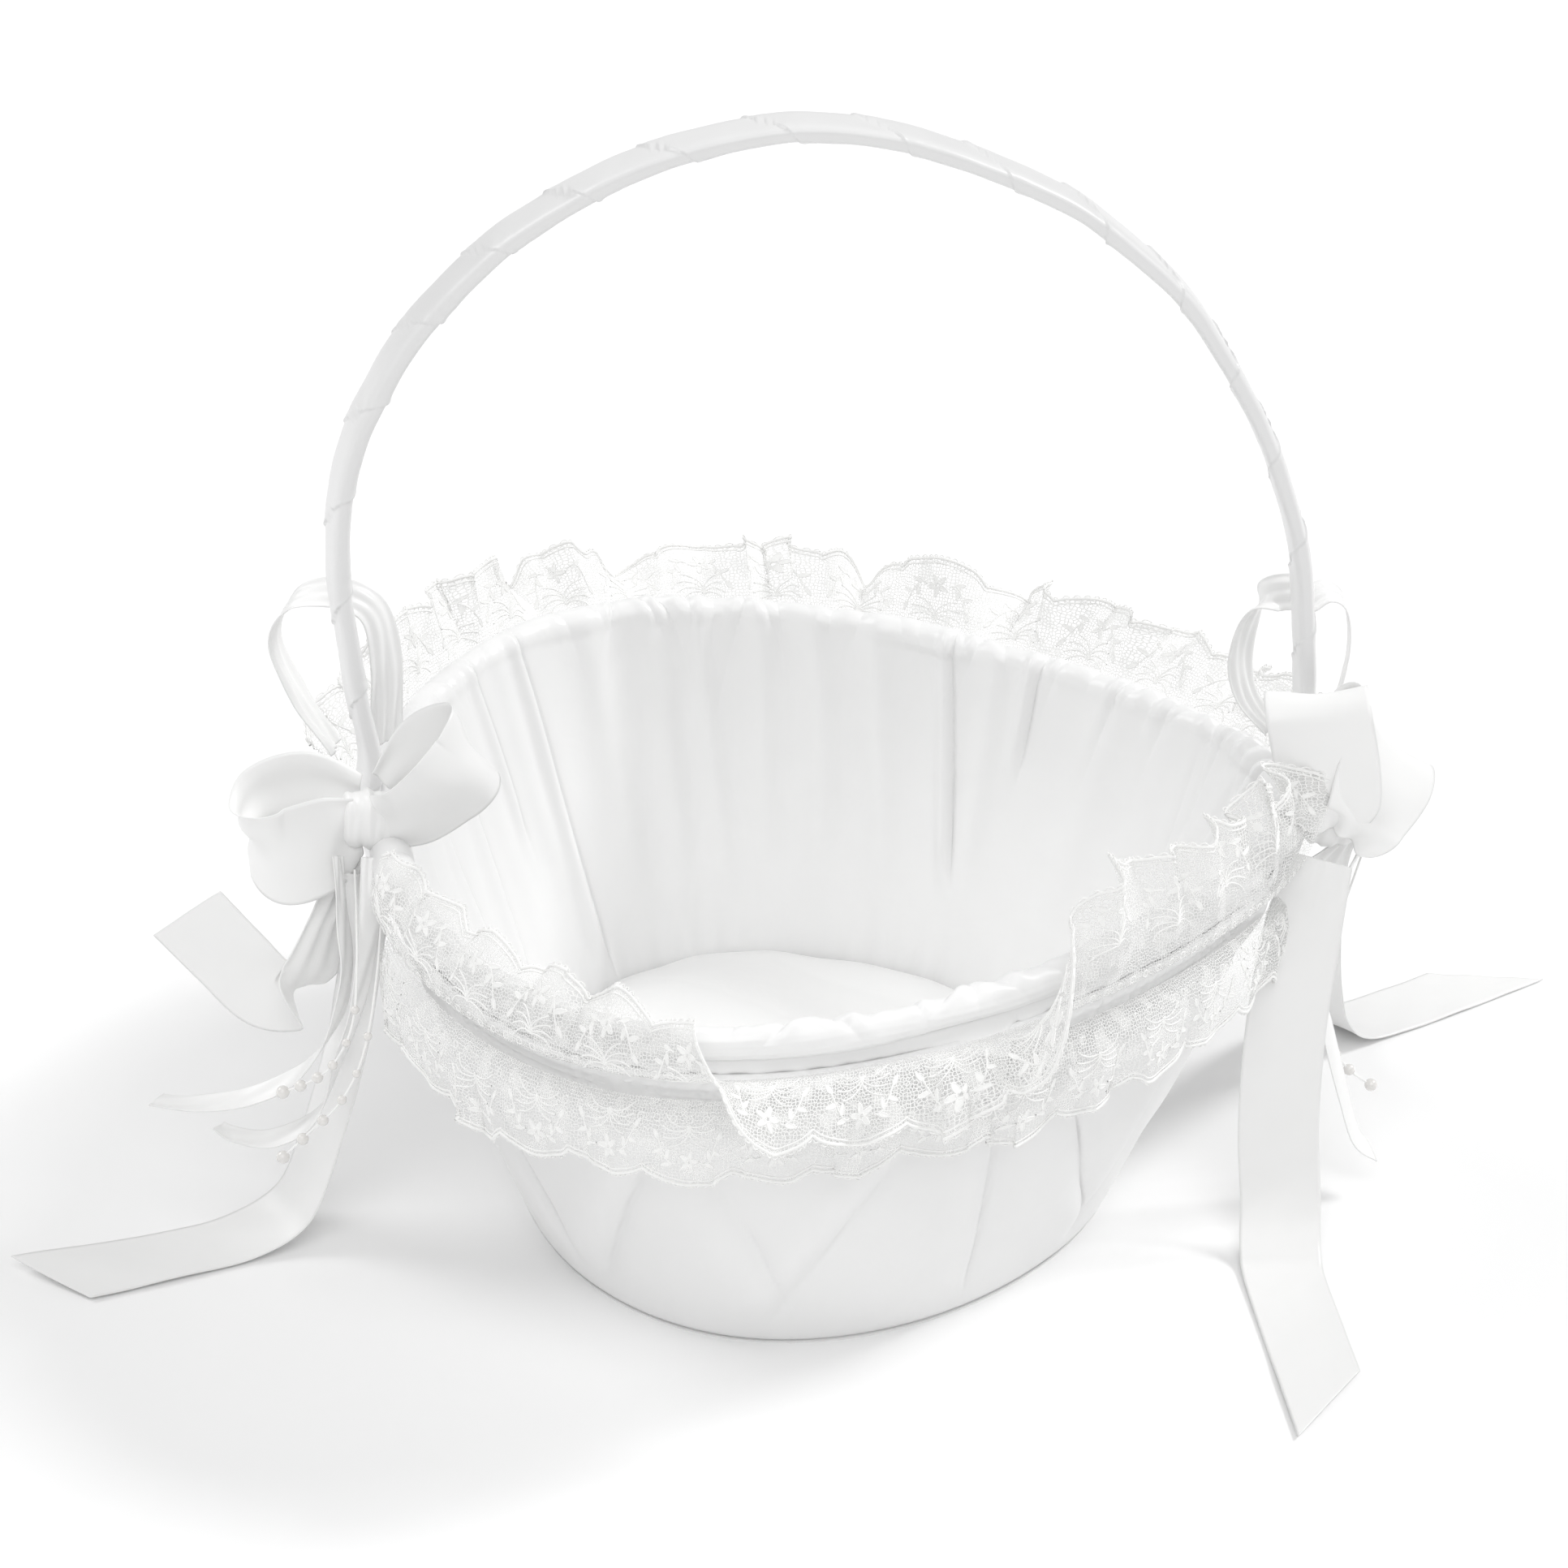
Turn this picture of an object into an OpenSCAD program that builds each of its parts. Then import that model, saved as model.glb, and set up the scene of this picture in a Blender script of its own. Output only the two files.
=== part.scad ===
// Flower girl basket: an egg-shaped, satin-covered basket with a gathered lining, a scrunched satin
// rim, two tiers of lace, a ribbon-wrapped bent handle, and a bow with tails and pearls on each side.
// Millimetres. The origin is the centre of the base on the floor, +Z is up, +X runs towards the
// narrow end of the basket, and the handle's feet lie on the X axis.

/* [Basket] */
// Height of the rim hoop's centre
rim_height = 97; // [90:1:105]
// Half length of the wall at the rim, along X
rim_a = 109.5; // [108:0.5:112]
// Half width of the wall at the rim, along Y
rim_b = 105; // [98:1:110]
// How much narrower the rim is towards +X
rim_egg = 0.35; // [0.2:0.05:0.45]
// Shift of the rim towards +X
rim_shift = 4; // [2:0.5:5]
// Half length of the wall at the base, along X
base_a = 74; // [68:1:80]
// Half width of the wall at the base, along Y
base_b = 84; // [76:1:88]
// How much narrower the base is towards +X
base_egg = 0.15; // [0:0.05:0.25]
// Thickness of the stiff wall inside the satin
wall_thick = 1.6; // [1.2:0.1:1.8]
// Thickness of the satin skins
satin_thick = 1; // [0.6:0.1:1.1]
// Depth of the liner's pleats
pleat_depth = 0.6; // [0:0.1:0.8]

/* [Rim] */
// Radius of the rim hoop's rod
hoop_r = 1.8; // [1.4:0.1:1.9]
// Outer radius of the scrunched satin roll
roll_r = 6.1; // [5.4:0.1:6.3]
// Thickness of the satin roll
roll_thick = 1.2; // [0.8:0.1:1.4]

/* [Lace] */
// Thickness of the lace
lace_thick = 0.6; // [0.4:0.1:0.8]
// Free width of the upper tier
upper_width = 21; // [16:1:24]
// Number of ruffles round the whole rim
ruffles = 36; // [24:1:40]
// Depth of the ruffles at the free edge of the upper tier
upper_wave = 2; // [0:0.1:2.5]
// Depth of the ruffles at the free edge of the lower tier
lower_wave = 1.6; // [0:0.1:2]

/* [Handle] */
// Width of the bent strip
strip_width = 12; // [10:0.5:12]
// Thickness of the bent strip
strip_thick = 2.4; // [1.8:0.1:2.4]
// Width over the ribbon wrap
wrap_width = 14.2; // [13.6:0.1:14.4]
// Thickness over the ribbon wrap
wrap_thick = 4.2; // [3.8:0.1:4.3]

/* [Ribbons and pearls] */
// Thickness of the satin ribbons
ribbon_thick = 0.5; // [0.3:0.1:0.6]
// Width of the narrow streamers
streamer_width = 5.5; // [4:0.5:6]
// Diameter of the pearl thread
thread_d = 0.6; // [0.4:0.1:0.8]
// Diameter of the largest pearls
pearl_d = 3.2; // [2.4:0.1:3.4]

/* [Hidden] */

satin = [0.95, 0.94, 0.92];
satin_shade = [0.90, 0.89, 0.87];
lace_white = [0.98, 0.98, 0.97];
pearl_white = [0.93, 0.90, 0.86];
board_brown = [0.70, 0.58, 0.42];
cane = [0.80, 0.66, 0.46];
wire_grey = [0.70, 0.71, 0.73];

round_steps = 72;
cover_gap = 0.3;
cover_in = wall_thick + cover_gap;
cover_out = cover_in + satin_thick;
liner_out = -0.4;
liner_in = liner_out - satin_thick;
panel_thick = 0.5;
board_z0 = 0.7;
board_z1 = 3.9;
core_top = rim_height - 2.5;
cover_top = rim_height - 7;
liner_top = rim_height - 6;
pad_z0 = 4.1;
pad_mid = 7.5;
pad_top = 10;
hoop_off = 0.5;
band_z0 = rim_height - 17;
band_z1 = rim_height - 9;
band_in = cover_out + 0.3;
band_out = band_in + 1;

// where the roll and the lace stop beside the handle feet and under the bows, in degrees
roll_back_arc = [8.5, 176.3];
roll_front_arc = [-169.4, -21];
lace_back_arc = [10.5, 175.2];
lace_front_arc = [-165, -32];

// rise of the upper lace above the horizontal, round the rim
lace_rise = [
    [-165, 74], [-118, 74], [-98, -60], [-90, -70], [-72, -66], [-60, -20], [-48, 45],
    [-32, 58], [0, 58], [20, 62], [60, 70], [100, 62], [150, 66], [176, 45]
];

// middle of the handle strip in the XZ plane, from the left foot over the top to the right foot
handle_route = [
    [-106.5, 72], [-110.5, 97], [-109.5, 112], [-112, 127], [-114, 144], [-115.5, 160],
    [-114.5, 178], [-111, 193], [-105, 206], [-98, 218], [-85, 233], [-71, 245], [-46, 259],
    [-19, 266.5], [1, 267], [22, 262.5], [50, 251], [65, 240.5], [78, 229], [86.5, 218],
    [100, 195.5], [109, 173.5], [113, 158], [115, 141], [116.5, 127], [117.5, 112], [118.5, 97],
    [113, 72]
];
foot_left = [[72, -106.5], [97, -110.5]];
foot_right = [[72, 113], [97, 118.5]];
staple_z = [76, 92];
staple_r = 0.45;
staple_span = 9;

left_knot = [-110, -19, 105];
right_knot = [122, -16, 99];
knot_outline = [[0, -7.5], [3.6, -7.5], [5.2, -5], [6, -1], [6, 1], [5.2, 5], [3.6, 7.5], [0, 7.5]];
tie_r = 0.45;

// ribbon routes: x, y, z, then the direction across the ribbon, then its width there
left_outer_route = [
    [-117, -21, 103, -0.1, 0, 1, 12], [-121, -28, 102, -0.15, 0, 1, 23],
    [-129, -31, 101, -0.2, 0, 1, 24], [-137, -28, 103, -0.3, 0, 1, 18],
    [-139.5, -22, 105, -0.3, 0, 1, 14], [-135, -15, 108, -0.3, 0, 1, 17],
    [-126, -12.5, 110, -0.1, 0, 1, 17], [-117.5, -14, 108, 0, 0, 1, 11]
];
left_inner_route = [
    [-103, -21, 105, -0.2, 0, 1, 9], [-97.5, -26, 110, -0.5, -0.3, 0.8, 15],
    [-91, -27.5, 116.5, -0.6, -0.3, 0.75, 18], [-86, -23.5, 122, -0.6, 0, 0.8, 19],
    [-87.5, -17, 125, -0.5, 0.3, 0.8, 19], [-95, -13, 121, -0.3, 0.2, 0.95, 18],
    [-103, -15, 112, 0, 0, 1, 10]
];
left_back_route = [
    [-118, 13, 108, 0.3, 0.95, 0, 8], [-126, 13, 122, 0.3, 0.95, 0, 9],
    [-131.5, 13, 137, 0.3, 0.95, 0, 9], [-127, 13, 147, 0.3, 0.9, 0.2, 9],
    [-117, 13, 149, 0.3, 0.8, 0.4, 9], [-108, 13, 144, 0.6, 0.7, 0.3, 9],
    [-105.5, 13, 130, 0.8, 0.5, 0, 9], [-106, 13, 109, 0.9, 0.3, 0, 8]
];
left_long_route = [
    [-111, -26, 94, 1, 0, 0, 10], [-112, -28, 76, 0.6, -0.8, 0, 17],
    [-115, -30, 56, 0.45, -0.9, 0, 20], [-120, -32, 36, 0.42, -0.9, 0, 20],
    [-125, -33, 20, 0.42, -0.9, 0, 20], [-131, -35, 7, 0.4, -0.9, 0, 20],
    [-143, -39.5, 1.6, 0.44, -0.9, 0, 20], [-160, -46, 1, 0.4, -0.92, 0, 20],
    [-190, -57, 2.6, 0.36, -0.92, -0.14, 20]
];
left_short_route = [
    [-112, -20, 95, 1, 0, 0, 9], [-120, -22.5, 81, 0.7, 0.6, 0.2, 13],
    [-125.5, -24, 66, 0.8, 0.4, 0.4, 18], [-134, -24, 60.5, 0.64, 0, 0.77, 20],
    [-144, -23, 71, 0.64, 0, 0.77, 20], [-153.5, -23, 83, 0.64, 0, 0.77, 20]
];
left_streamer_a_route = [
    [-117, -26, 99, 0.3, 0.95, 0, 5], [-116, -34, 86, 0.4, 0.9, 0, 5.5],
    [-115.5, -38, 74, 0.5, 0.85, 0, 5.5], [-118.5, -39, 61, 0.5, 0.8, 0.2, 5.5],
    [-127, -39, 48, 0.3, 0.85, 0.4, 5.5], [-139, -39, 41.5, 0, 0.9, 0.4, 5.5],
    [-152.5, -39, 39.5, 0, 0.95, 0.2, 5.5], [-163, -39, 41.5, 0, 0.95, 0.1, 5.5]
];
left_streamer_b_route = [
    [-109, -27, 99, 0.9, 0.3, 0, 5], [-110, -37, 84, 0.8, 0.5, 0, 5.5],
    [-113, -42, 68, 0.6, 0.75, 0, 5.5], [-117.5, -43.5, 54, 0.5, 0.8, 0.2, 5.5],
    [-123.5, -44, 39, 0.3, 0.85, 0.4, 5.5], [-134, -44, 32.5, 0, 0.9, 0.4, 5.5],
    [-143.5, -44, 34, 0, 0.95, 0.2, 5.5], [-148, -44, 37.5, -0.1, 0.95, 0.1, 5.5]
];
left_thread_a_route = [
    [-113, -27.5, 96], [-112.5, -44, 82], [-114, -48, 66], [-119, -48, 55], [-125, -47.5, 50],
    [-131.5, -47, 47]
];
left_thread_b_route = [
    [-106, -27.5, 96], [-108, -46, 78], [-111.5, -51, 60], [-117, -51.5, 47.5],
    [-124.5, -51.5, 39], [-132, -51, 31]
];
right_front_route = [
    [120, -23.5, 103, 1, -0.2, 0.1, 11], [116.5, -27, 115, 0.95, -0.3, 0.1, 17],
    [112, -26.5, 128, 0.9, -0.4, 0.2, 18], [109.5, -22, 138, 0.85, -0.5, 0.15, 18],
    [111, -15.5, 138.5, 0.85, -0.5, 0.1, 18], [115, -12.8, 125, 0.9, -0.3, 0.1, 15],
    [120, -12.8, 108, 1, -0.1, 0, 10]
];
right_outer_route = [
    [130, -13, 103, 0.8, 0.3, 0.3, 8], [129, -10.5, 117, 0.9, 0.3, 0.1, 10],
    [125.5, -11.5, 130, 0.9, 0.3, 0.2, 12], [124, -16, 136, 0.9, 0.2, 0.4, 13],
    [127.5, -20, 128, 0.9, -0.1, 0.4, 15], [132, -22, 117, 0.9, -0.1, 0.4, 17],
    [136.5, -24, 108.5, 0.75, 0, 0.65, 18], [135.5, -28.5, 103.5, 0.3, 0, 0.95, 18],
    [131.5, -28.5, 101, 0.2, 0, 1, 17], [128.5, -26, 99, 0.2, 0, 1, 11]
];
right_back_route = [
    [112, 14, 109, 0.5, 0.8, 0, 7], [106, 14, 117, 0.7, 0.7, 0, 8],
    [103.3, 14, 127, 0.75, 0.6, 0.2, 9], [104.5, 14, 137, 0.75, 0.55, 0.3, 9],
    [108.5, 14, 144, 0.5, 0.4, 0.75, 9], [114, 14, 145.5, 0, 0.5, 0.85, 9],
    [119, 14, 144, 0.1, 0.8, 0.5, 9], [123.5, 14, 145.5, 0, 0.95, 0.2, 9],
    [128, 14, 142, 0.1, 0.95, 0.1, 9], [130, 14, 130, 0.2, 0.95, 0, 9],
    [127.5, 14, 112, 0.3, 0.95, 0, 7]
];
right_tail_front_route = [
    [120, -24.5, 90, 1, 0, 0, 11], [114, -31, 73, 0.95, -0.1, 0, 17],
    [110.5, -38, 52, 1, 0, 0, 20], [109.5, -44, 29, 1, 0, 0, 20], [110, -51, 12, 1, 0, 0, 20],
    [109, -60, 2.6, 1, 0, 0, 20], [108.5, -74, 0.8, 1, 0, 0, 20], [109.5, -126, 0.8, 1, 0, 0, 20]
];
right_tail_back_route = [
    [127.5, -8, 88, 0.9, 0.3, 0, 7], [124.5, -3, 78, 1, 0, 0, 13], [123, 2, 68, 1, 0, 0, 18],
    [125.5, 15, 48, 1, -0.1, 0, 20], [131, 30, 25, 0.95, -0.3, 0, 20],
    [138, 41, 9, 0.8, -0.6, 0, 20], [150, 48.5, 1.8, 0.5, -0.86, 0, 20],
    [172, 60.5, 0.8, 0.5, -0.86, 0, 20], [203, 79, 0.8, 0.5, -0.86, 0, 20]
];
right_streamer_route = [
    [128.5, -20, 91, 0.5, 0.85, 0, 5], [121, -25, 77, 0.5, 0.85, 0, 5.5],
    [117.5, -27, 64, 0.5, 0.85, 0, 5.5], [123, -28, 47.5, 0.6, 0.8, 0, 5.5],
    [128.5, -28, 29, 0.6, 0.8, 0, 5.5], [133.5, -28, 14.5, 0.5, 0.85, 0, 5.5],
    [139, -28, 9.5, 0.4, 0.9, 0, 5.5]
];
right_thread_route = [
    [132, -15, 93], [127, -18, 76], [121.5, -19, 60], [121, -20, 48], [126, -20, 37.5],
    [132, -20, 29.5], [138.5, -20, 24.5]
];
// pearls on each strand: place along the thread from 0 to 1, then size as a part of the largest
pearls = [
    [0.34, 0.65], [0.47, 0.65], [0.6, 0.75], [0.72, 0.85], [0.84, 0.9], [0.97, 1]
];

function mix(a, b, s) = a + (b - a) * s;
function unit(v) = v / norm(v);
function xyz(q) = [q[0], q[1], q[2]];

// a point on the basket wall: angle round it, height, and distance outside the wall's inner face
function wall(t, z, off) =
    let (s = z / rim_height, k = mix(base_egg, rim_egg, s))
    let (x = mix(base_a, rim_a, s) * cos(t))
    let (y = mix(base_b, rim_b, s) * sin(t) * (1 - k * cos(t)))
    let (grow = 1 + off / norm([x, y]))
    [rim_shift * s + x * grow, y * grow, z];

// the same, but measured from the rim at any height
function from_rim(t, off, z) =
    let (q = wall(t, rim_height, off))
    [q[0], q[1], z];

function turns(n) = [for (i = [0:n - 1]) 360 * i / n];
function arc(ends, n) = [for (i = [0:n]) mix(ends[0], ends[1], i / n)];

// cross-section of a skin that follows the wall
function skin(t, z0, z1, off0, off1, n) = concat(
    [for (j = [0:n]) wall(t, mix(z0, z1, j / n), off0)],
    [for (j = [n:-1:0]) wall(t, mix(z0, z1, j / n), off1)]
);

// a line of [offset, height] points given a thickness
function thicken(line, thick) =
    let (n = len(line))
    let (side = [for (i = [0:n - 1]) let (d = unit(line[min(i + 1, n - 1)] - line[max(i - 1, 0)]))
        [-d[1], d[0]] * thick / 2])
    concat([for (i = [0:n - 1]) line[i] + side[i]], [for (i = [n - 1:-1:0]) line[i] - side[i]]);

function upper_lace_line(t) =
    let (e = lookup(t, lace_rise), wave = upper_wave * sin(ruffles * t))
    concat([[3, rim_height - 8.6], [7, rim_height - 7.6]],
        [for (f = [0.35, 0.7, 1])
            [7, rim_height - 7.6] + upper_width * f * [cos(e), sin(e)] + wave * f * [-sin(e), cos(e)]]);

function lower_lace_line(t) =
    let (wave = lower_wave * cos(ruffles * t))
    [[2.6, rim_height - 14.5], [5, rim_height - 15.5], [5.5 + wave * 0.3, rim_height - 22],
        [4.4 + wave * 0.7, rim_height - 30], [2.6 + wave, rim_height - 37]];

// smooth curve through the route's points
function curve(p, i, s) =
    let (a = p[max(i - 1, 0)], b = p[i], c = p[i + 1], d = p[min(i + 2, len(p) - 1)])
    0.5 * (2 * b + (c - a) * s + (2 * a - 5 * b + 4 * c - d) * s * s
        + (3 * b - a - 3 * c + d) * s * s * s);
function smooth(p, n) = concat(
    [for (i = [0:len(p) - 2]) for (j = [0:n - 1]) curve(p, i, j / n)],
    [p[len(p) - 1]]
);

// joins cross-sections into one closed solid; point j of a section faces point m-1-j across it
module loft(rings, closed = false) {
    m = len(rings[0]);
    n = len(rings);
    last = closed ? n - 1 : n - 2;
    points = [for (r = rings) each r];
    sides = [for (i = [0:last]) for (j = [0:m - 1])
        let (k = (j + 1) % m, a = i * m, b = ((i + 1) % n) * m)
        each [[a + j, b + j, b + k], [a + j, b + k, a + k]]];
    cap = [for (j = [0:m / 2 - 2]) each [[j, j + 1, m - 2 - j], [j, m - 2 - j, m - 1 - j]]];
    ends = closed ? [] : concat(cap, [for (f = cap) [for (q = [2:-1:0]) (n - 1) * m + f[q]]]);
    polyhedron(points = points, faces = concat(sides, ends));
}

// a flat ribbon along a route
module ribbon(route, thick = ribbon_thick, steps = 5) {
    c = smooth(route, steps);
    n = len(c);
    loft([for (i = [0:n - 1])
        let (t = unit(xyz(c[min(i + 1, n - 1)]) - xyz(c[max(i - 1, 0)])))
        let (across = [c[i][3], c[i][4], c[i][5]])
        let (w = unit(across - t * (t * across)), m = cross(t, w), h = c[i][6] / 2)
        let (p = xyz(c[i]), a = w * h, b = m * thick / 2)
        [p - a - b, p + a - b, p + a + b, p - a + b]]);
}

// a round cord along a route
module cord(route, d, steps = 4) {
    c = smooth(route, steps);
    n = len(c);
    loft([for (i = [0:n - 1])
        let (t = unit(c[min(i + 1, n - 1)] - c[max(i - 1, 0)]))
        let (w = unit(cross(t, [0.3, 1, 0])), m = cross(t, w))
        [for (j = [0:7]) c[i] + d / 2 * (cos(45 * j) * w + sin(45 * j) * m)]]);
}

module pearls_on(route) {
    c = smooth(route, 8);
    n = len(c) - 1;
    for (q = pearls)
        translate(c[round(q[0] * n)])
            sphere(d = pearl_d * q[1], $fn = 32);
}

// a flat section [across, outward] swept along the handle
module along_handle(section) {
    c = smooth(handle_route, 2);
    n = len(c);
    loft([for (i = [0:n - 1])
        let (d = unit(c[min(i + 1, n - 1)] - c[max(i - 1, 0)]))
        [for (q = section) [c[i][0] - d[1] * q[1], q[0], c[i][1] + d[0] * q[1]]]]);
}

module outline_stack(levels) {
    loft([for (q = levels) [for (t = turns(round_steps))
        let (p = wall(t, q[0], q[1])) [p[0], p[1], q[2]]]]);
}

module base_cover_panel() {
    color(satin_shade)
        outline_stack([[0, cover_out, 0], [panel_thick, cover_out, panel_thick]]);
}

module base_board() {
    color(board_brown)
        outline_stack([[board_z0, -0.2, board_z0], [board_z0, -0.2, board_z1]]);
}

module basket_core() {
    color(board_brown)
        loft([for (t = turns(round_steps)) skin(t, board_z0, core_top, 0, wall_thick, 2)], true);
}

module outer_cover() {
    color(satin)
        loft([for (t = turns(round_steps))
            skin(t, panel_thick + 0.1, cover_top, cover_in, cover_out, 2)], true);
}

module inner_liner() {
    color(satin)
        loft([for (t = turns(round_steps))
            let (pleat = pleat_depth * (1 - cos(24 * t)) / 2)
            skin(t, pad_z0 + 0.1, liner_top, liner_in - pleat, liner_out, 2)], true);
}

module floor_pad() {
    color(satin)
        outline_stack([[pad_z0, -2.6, pad_z0], [pad_mid, -2.8, pad_mid], [pad_top, -6, pad_top]]);
}

module rim_hoop() {
    color(cane)
        loft([for (t = turns(round_steps)) [for (j = [0:7])
            from_rim(t, hoop_off + hoop_r * cos(-45 * j), rim_height + hoop_r * sin(-45 * j))]], true);
}

module rim_roll() {
    middle = roll_r - roll_thick / 2;
    line = [for (a = [-50:35:230]) [hoop_off + middle * cos(a), rim_height + middle * sin(a)]];
    color(satin)
        for (ends = [roll_back_arc, roll_front_arc])
            loft([for (t = arc(ends, 32)) [for (q = thicken(line, roll_thick))
                from_rim(t, q[0], q[1])]]);
}

module gathering_band() {
    color(satin_shade)
        loft([for (t = turns(round_steps)) skin(t, band_z0, band_z1, band_in, band_out, 1)], true);
}

module lace_ruffle_upper() {
    color(lace_white)
        for (q = [[lace_back_arc, 82], [lace_front_arc, 66]])
            loft([for (t = arc(q[0], q[1])) [for (p = thicken(upper_lace_line(t), lace_thick))
                from_rim(t, p[0], p[1])]]);
}

module lace_ruffle_lower() {
    color(lace_white)
        for (q = [[lace_back_arc, 82], [lace_front_arc, 66]])
            loft([for (t = arc(q[0], q[1])) [for (p = thicken(lower_lace_line(t), lace_thick))
                from_rim(t, p[0], p[1])]]);
}

module handle_core() {
    w = strip_width / 2;
    h = strip_thick / 2;
    color(cane)
        along_handle([[-w, -h], [w, -h], [w, h], [-w, h]]);
}

module handle_ribbon_wrap() {
    seam = 0.1;
    ow = wrap_width / 2;
    oh = wrap_thick / 2;
    iw = strip_width / 2 + 0.2;
    ih = strip_thick / 2 + 0.2;
    color(satin)
        along_handle([
            [seam, -oh], [ow, -oh], [ow, oh], [-ow, oh], [-ow, -oh], [-seam, -oh],
            [-seam, -ih], [-iw, -ih], [-iw, ih], [iw, ih], [iw, -ih], [seam, -ih]
        ]);
}

module staple(x_out, x_in, z) {
    side = sign(x_out);
    for (y = [-staple_span / 2, staple_span / 2])
        translate([min(x_out, x_in), y, z])
            rotate([0, 90, 0])
                cylinder(r = staple_r, h = abs(x_out - x_in), $fn = 24);
    translate([x_out - side * staple_r, staple_span / 2 + staple_r, z])
        rotate([90, 0, 0])
            cylinder(r = staple_r, h = staple_span + 2 * staple_r, $fn = 24);
}

module handle_staples() {
    crown = wrap_thick / 2 + 2 * staple_r;
    color(wire_grey)
        for (z = staple_z) {
            staple(lookup(z, foot_left) - crown, wall(180, z, 0)[0] - 0.4, z);
            staple(lookup(z, foot_right) + crown, wall(0, z, 0)[0] + 0.4, z);
        }
}

module knot(at) {
    color(satin)
        translate(at)
            rotate_extrude($fn = 48)
                polygon(knot_outline);
}

// wire round the handle foot that holds the knot
module tie(foot_x, z, knot_y) {
    dx = wrap_thick / 2 + 0.85;
    y1 = wrap_width / 2 + 0.7;
    y0 = knot_y + 4.6;
    color(wire_grey) {
        for (s = [-1, 1])
            translate([foot_x + s * dx, y1, z])
                rotate([90, 0, 0])
                    cylinder(r = tie_r, h = y1 - y0, $fn = 24);
        translate([foot_x - dx, y1, z])
            rotate([0, 90, 0])
                cylinder(r = tie_r, h = 2 * dx, $fn = 24);
        for (s = [-1, 1])
            translate([foot_x + s * dx, y1, z])
                sphere(r = tie_r, $fn = 24);
    }
}

module left_bow_outer_loop() {
    color(satin) ribbon(left_outer_route);
}

module left_bow_inner_loop() {
    color(satin) ribbon(left_inner_route);
}

module left_bow_knot() {
    knot(left_knot);
}

module left_bow_tie() {
    tie(-110.6, 101.5, left_knot[1]);
}

module left_bow_back_loops() {
    color(satin) ribbon(left_back_route);
}

module left_tail_long() {
    color(satin) ribbon(left_long_route);
}

module left_tail_short() {
    color(satin) ribbon(left_short_route);
}

module left_streamer_a() {
    color(satin) ribbon(left_streamer_a_route);
}

module left_streamer_b() {
    color(satin) ribbon(left_streamer_b_route);
}

module left_pearl_thread_a() {
    color(lace_white) cord(left_thread_a_route, thread_d);
}

module left_pearls_a() {
    color(pearl_white) pearls_on(left_thread_a_route);
}

module left_pearl_thread_b() {
    color(lace_white) cord(left_thread_b_route, thread_d);
}

module left_pearls_b() {
    color(pearl_white) pearls_on(left_thread_b_route);
}

module right_bow_front_loop() {
    color(satin) ribbon(right_front_route);
}

module right_bow_outer_loop() {
    color(satin) ribbon(right_outer_route);
}

module right_bow_knot() {
    knot(right_knot);
}

module right_bow_tie() {
    tie(118.7, 100.5, right_knot[1]);
}

module right_bow_back_loops() {
    color(satin) ribbon(right_back_route);
}

module right_tail_front() {
    color(satin) ribbon(right_tail_front_route);
}

module right_tail_back() {
    color(satin) ribbon(right_tail_back_route);
}

module right_streamer() {
    color(satin) ribbon(right_streamer_route);
}

module right_pearl_thread() {
    color(lace_white) cord(right_thread_route, thread_d);
}

module right_pearls() {
    color(pearl_white) pearls_on(right_thread_route);
}

base_cover_panel();
base_board();
basket_core();
outer_cover();
inner_liner();
floor_pad();
rim_hoop();
rim_roll();
gathering_band();
lace_ruffle_upper();
lace_ruffle_lower();
handle_core();
handle_ribbon_wrap();
handle_staples();
left_bow_outer_loop();
left_bow_inner_loop();
left_bow_knot();
left_bow_tie();
left_bow_back_loops();
left_tail_long();
left_tail_short();
left_streamer_a();
left_streamer_b();
left_pearl_thread_a();
left_pearls_a();
left_pearl_thread_b();
left_pearls_b();
right_bow_front_loop();
right_bow_outer_loop();
right_bow_knot();
right_bow_tie();
right_bow_back_loops();
right_tail_front();
right_tail_back();
right_streamer();
right_pearl_thread();
right_pearls();
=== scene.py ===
import math
import bpy
import numpy as np
from mathutils import Matrix, Vector


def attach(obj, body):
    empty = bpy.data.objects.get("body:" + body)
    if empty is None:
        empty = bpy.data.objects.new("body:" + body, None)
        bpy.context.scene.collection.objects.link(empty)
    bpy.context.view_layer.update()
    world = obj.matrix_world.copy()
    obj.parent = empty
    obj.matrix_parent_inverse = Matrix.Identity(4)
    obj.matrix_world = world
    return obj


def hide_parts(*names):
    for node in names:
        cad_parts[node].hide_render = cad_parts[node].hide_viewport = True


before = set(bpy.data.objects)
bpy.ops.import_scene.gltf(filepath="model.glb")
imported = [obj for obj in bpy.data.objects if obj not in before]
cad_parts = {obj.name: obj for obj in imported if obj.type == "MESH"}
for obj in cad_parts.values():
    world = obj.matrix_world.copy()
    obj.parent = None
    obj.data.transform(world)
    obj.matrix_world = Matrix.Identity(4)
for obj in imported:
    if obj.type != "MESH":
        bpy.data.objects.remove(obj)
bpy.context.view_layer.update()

PI = math.pi

# ---- camera
AZIMUTH, ELEVATION, ROLL = math.radians(-4.92), math.radians(27.47), math.radians(1.27)
AIM = Vector((-0.0105, -0.0091, 0.1072))
DISTANCE = 0.9019
LENS, SENSOR = 86.16, 36


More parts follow.
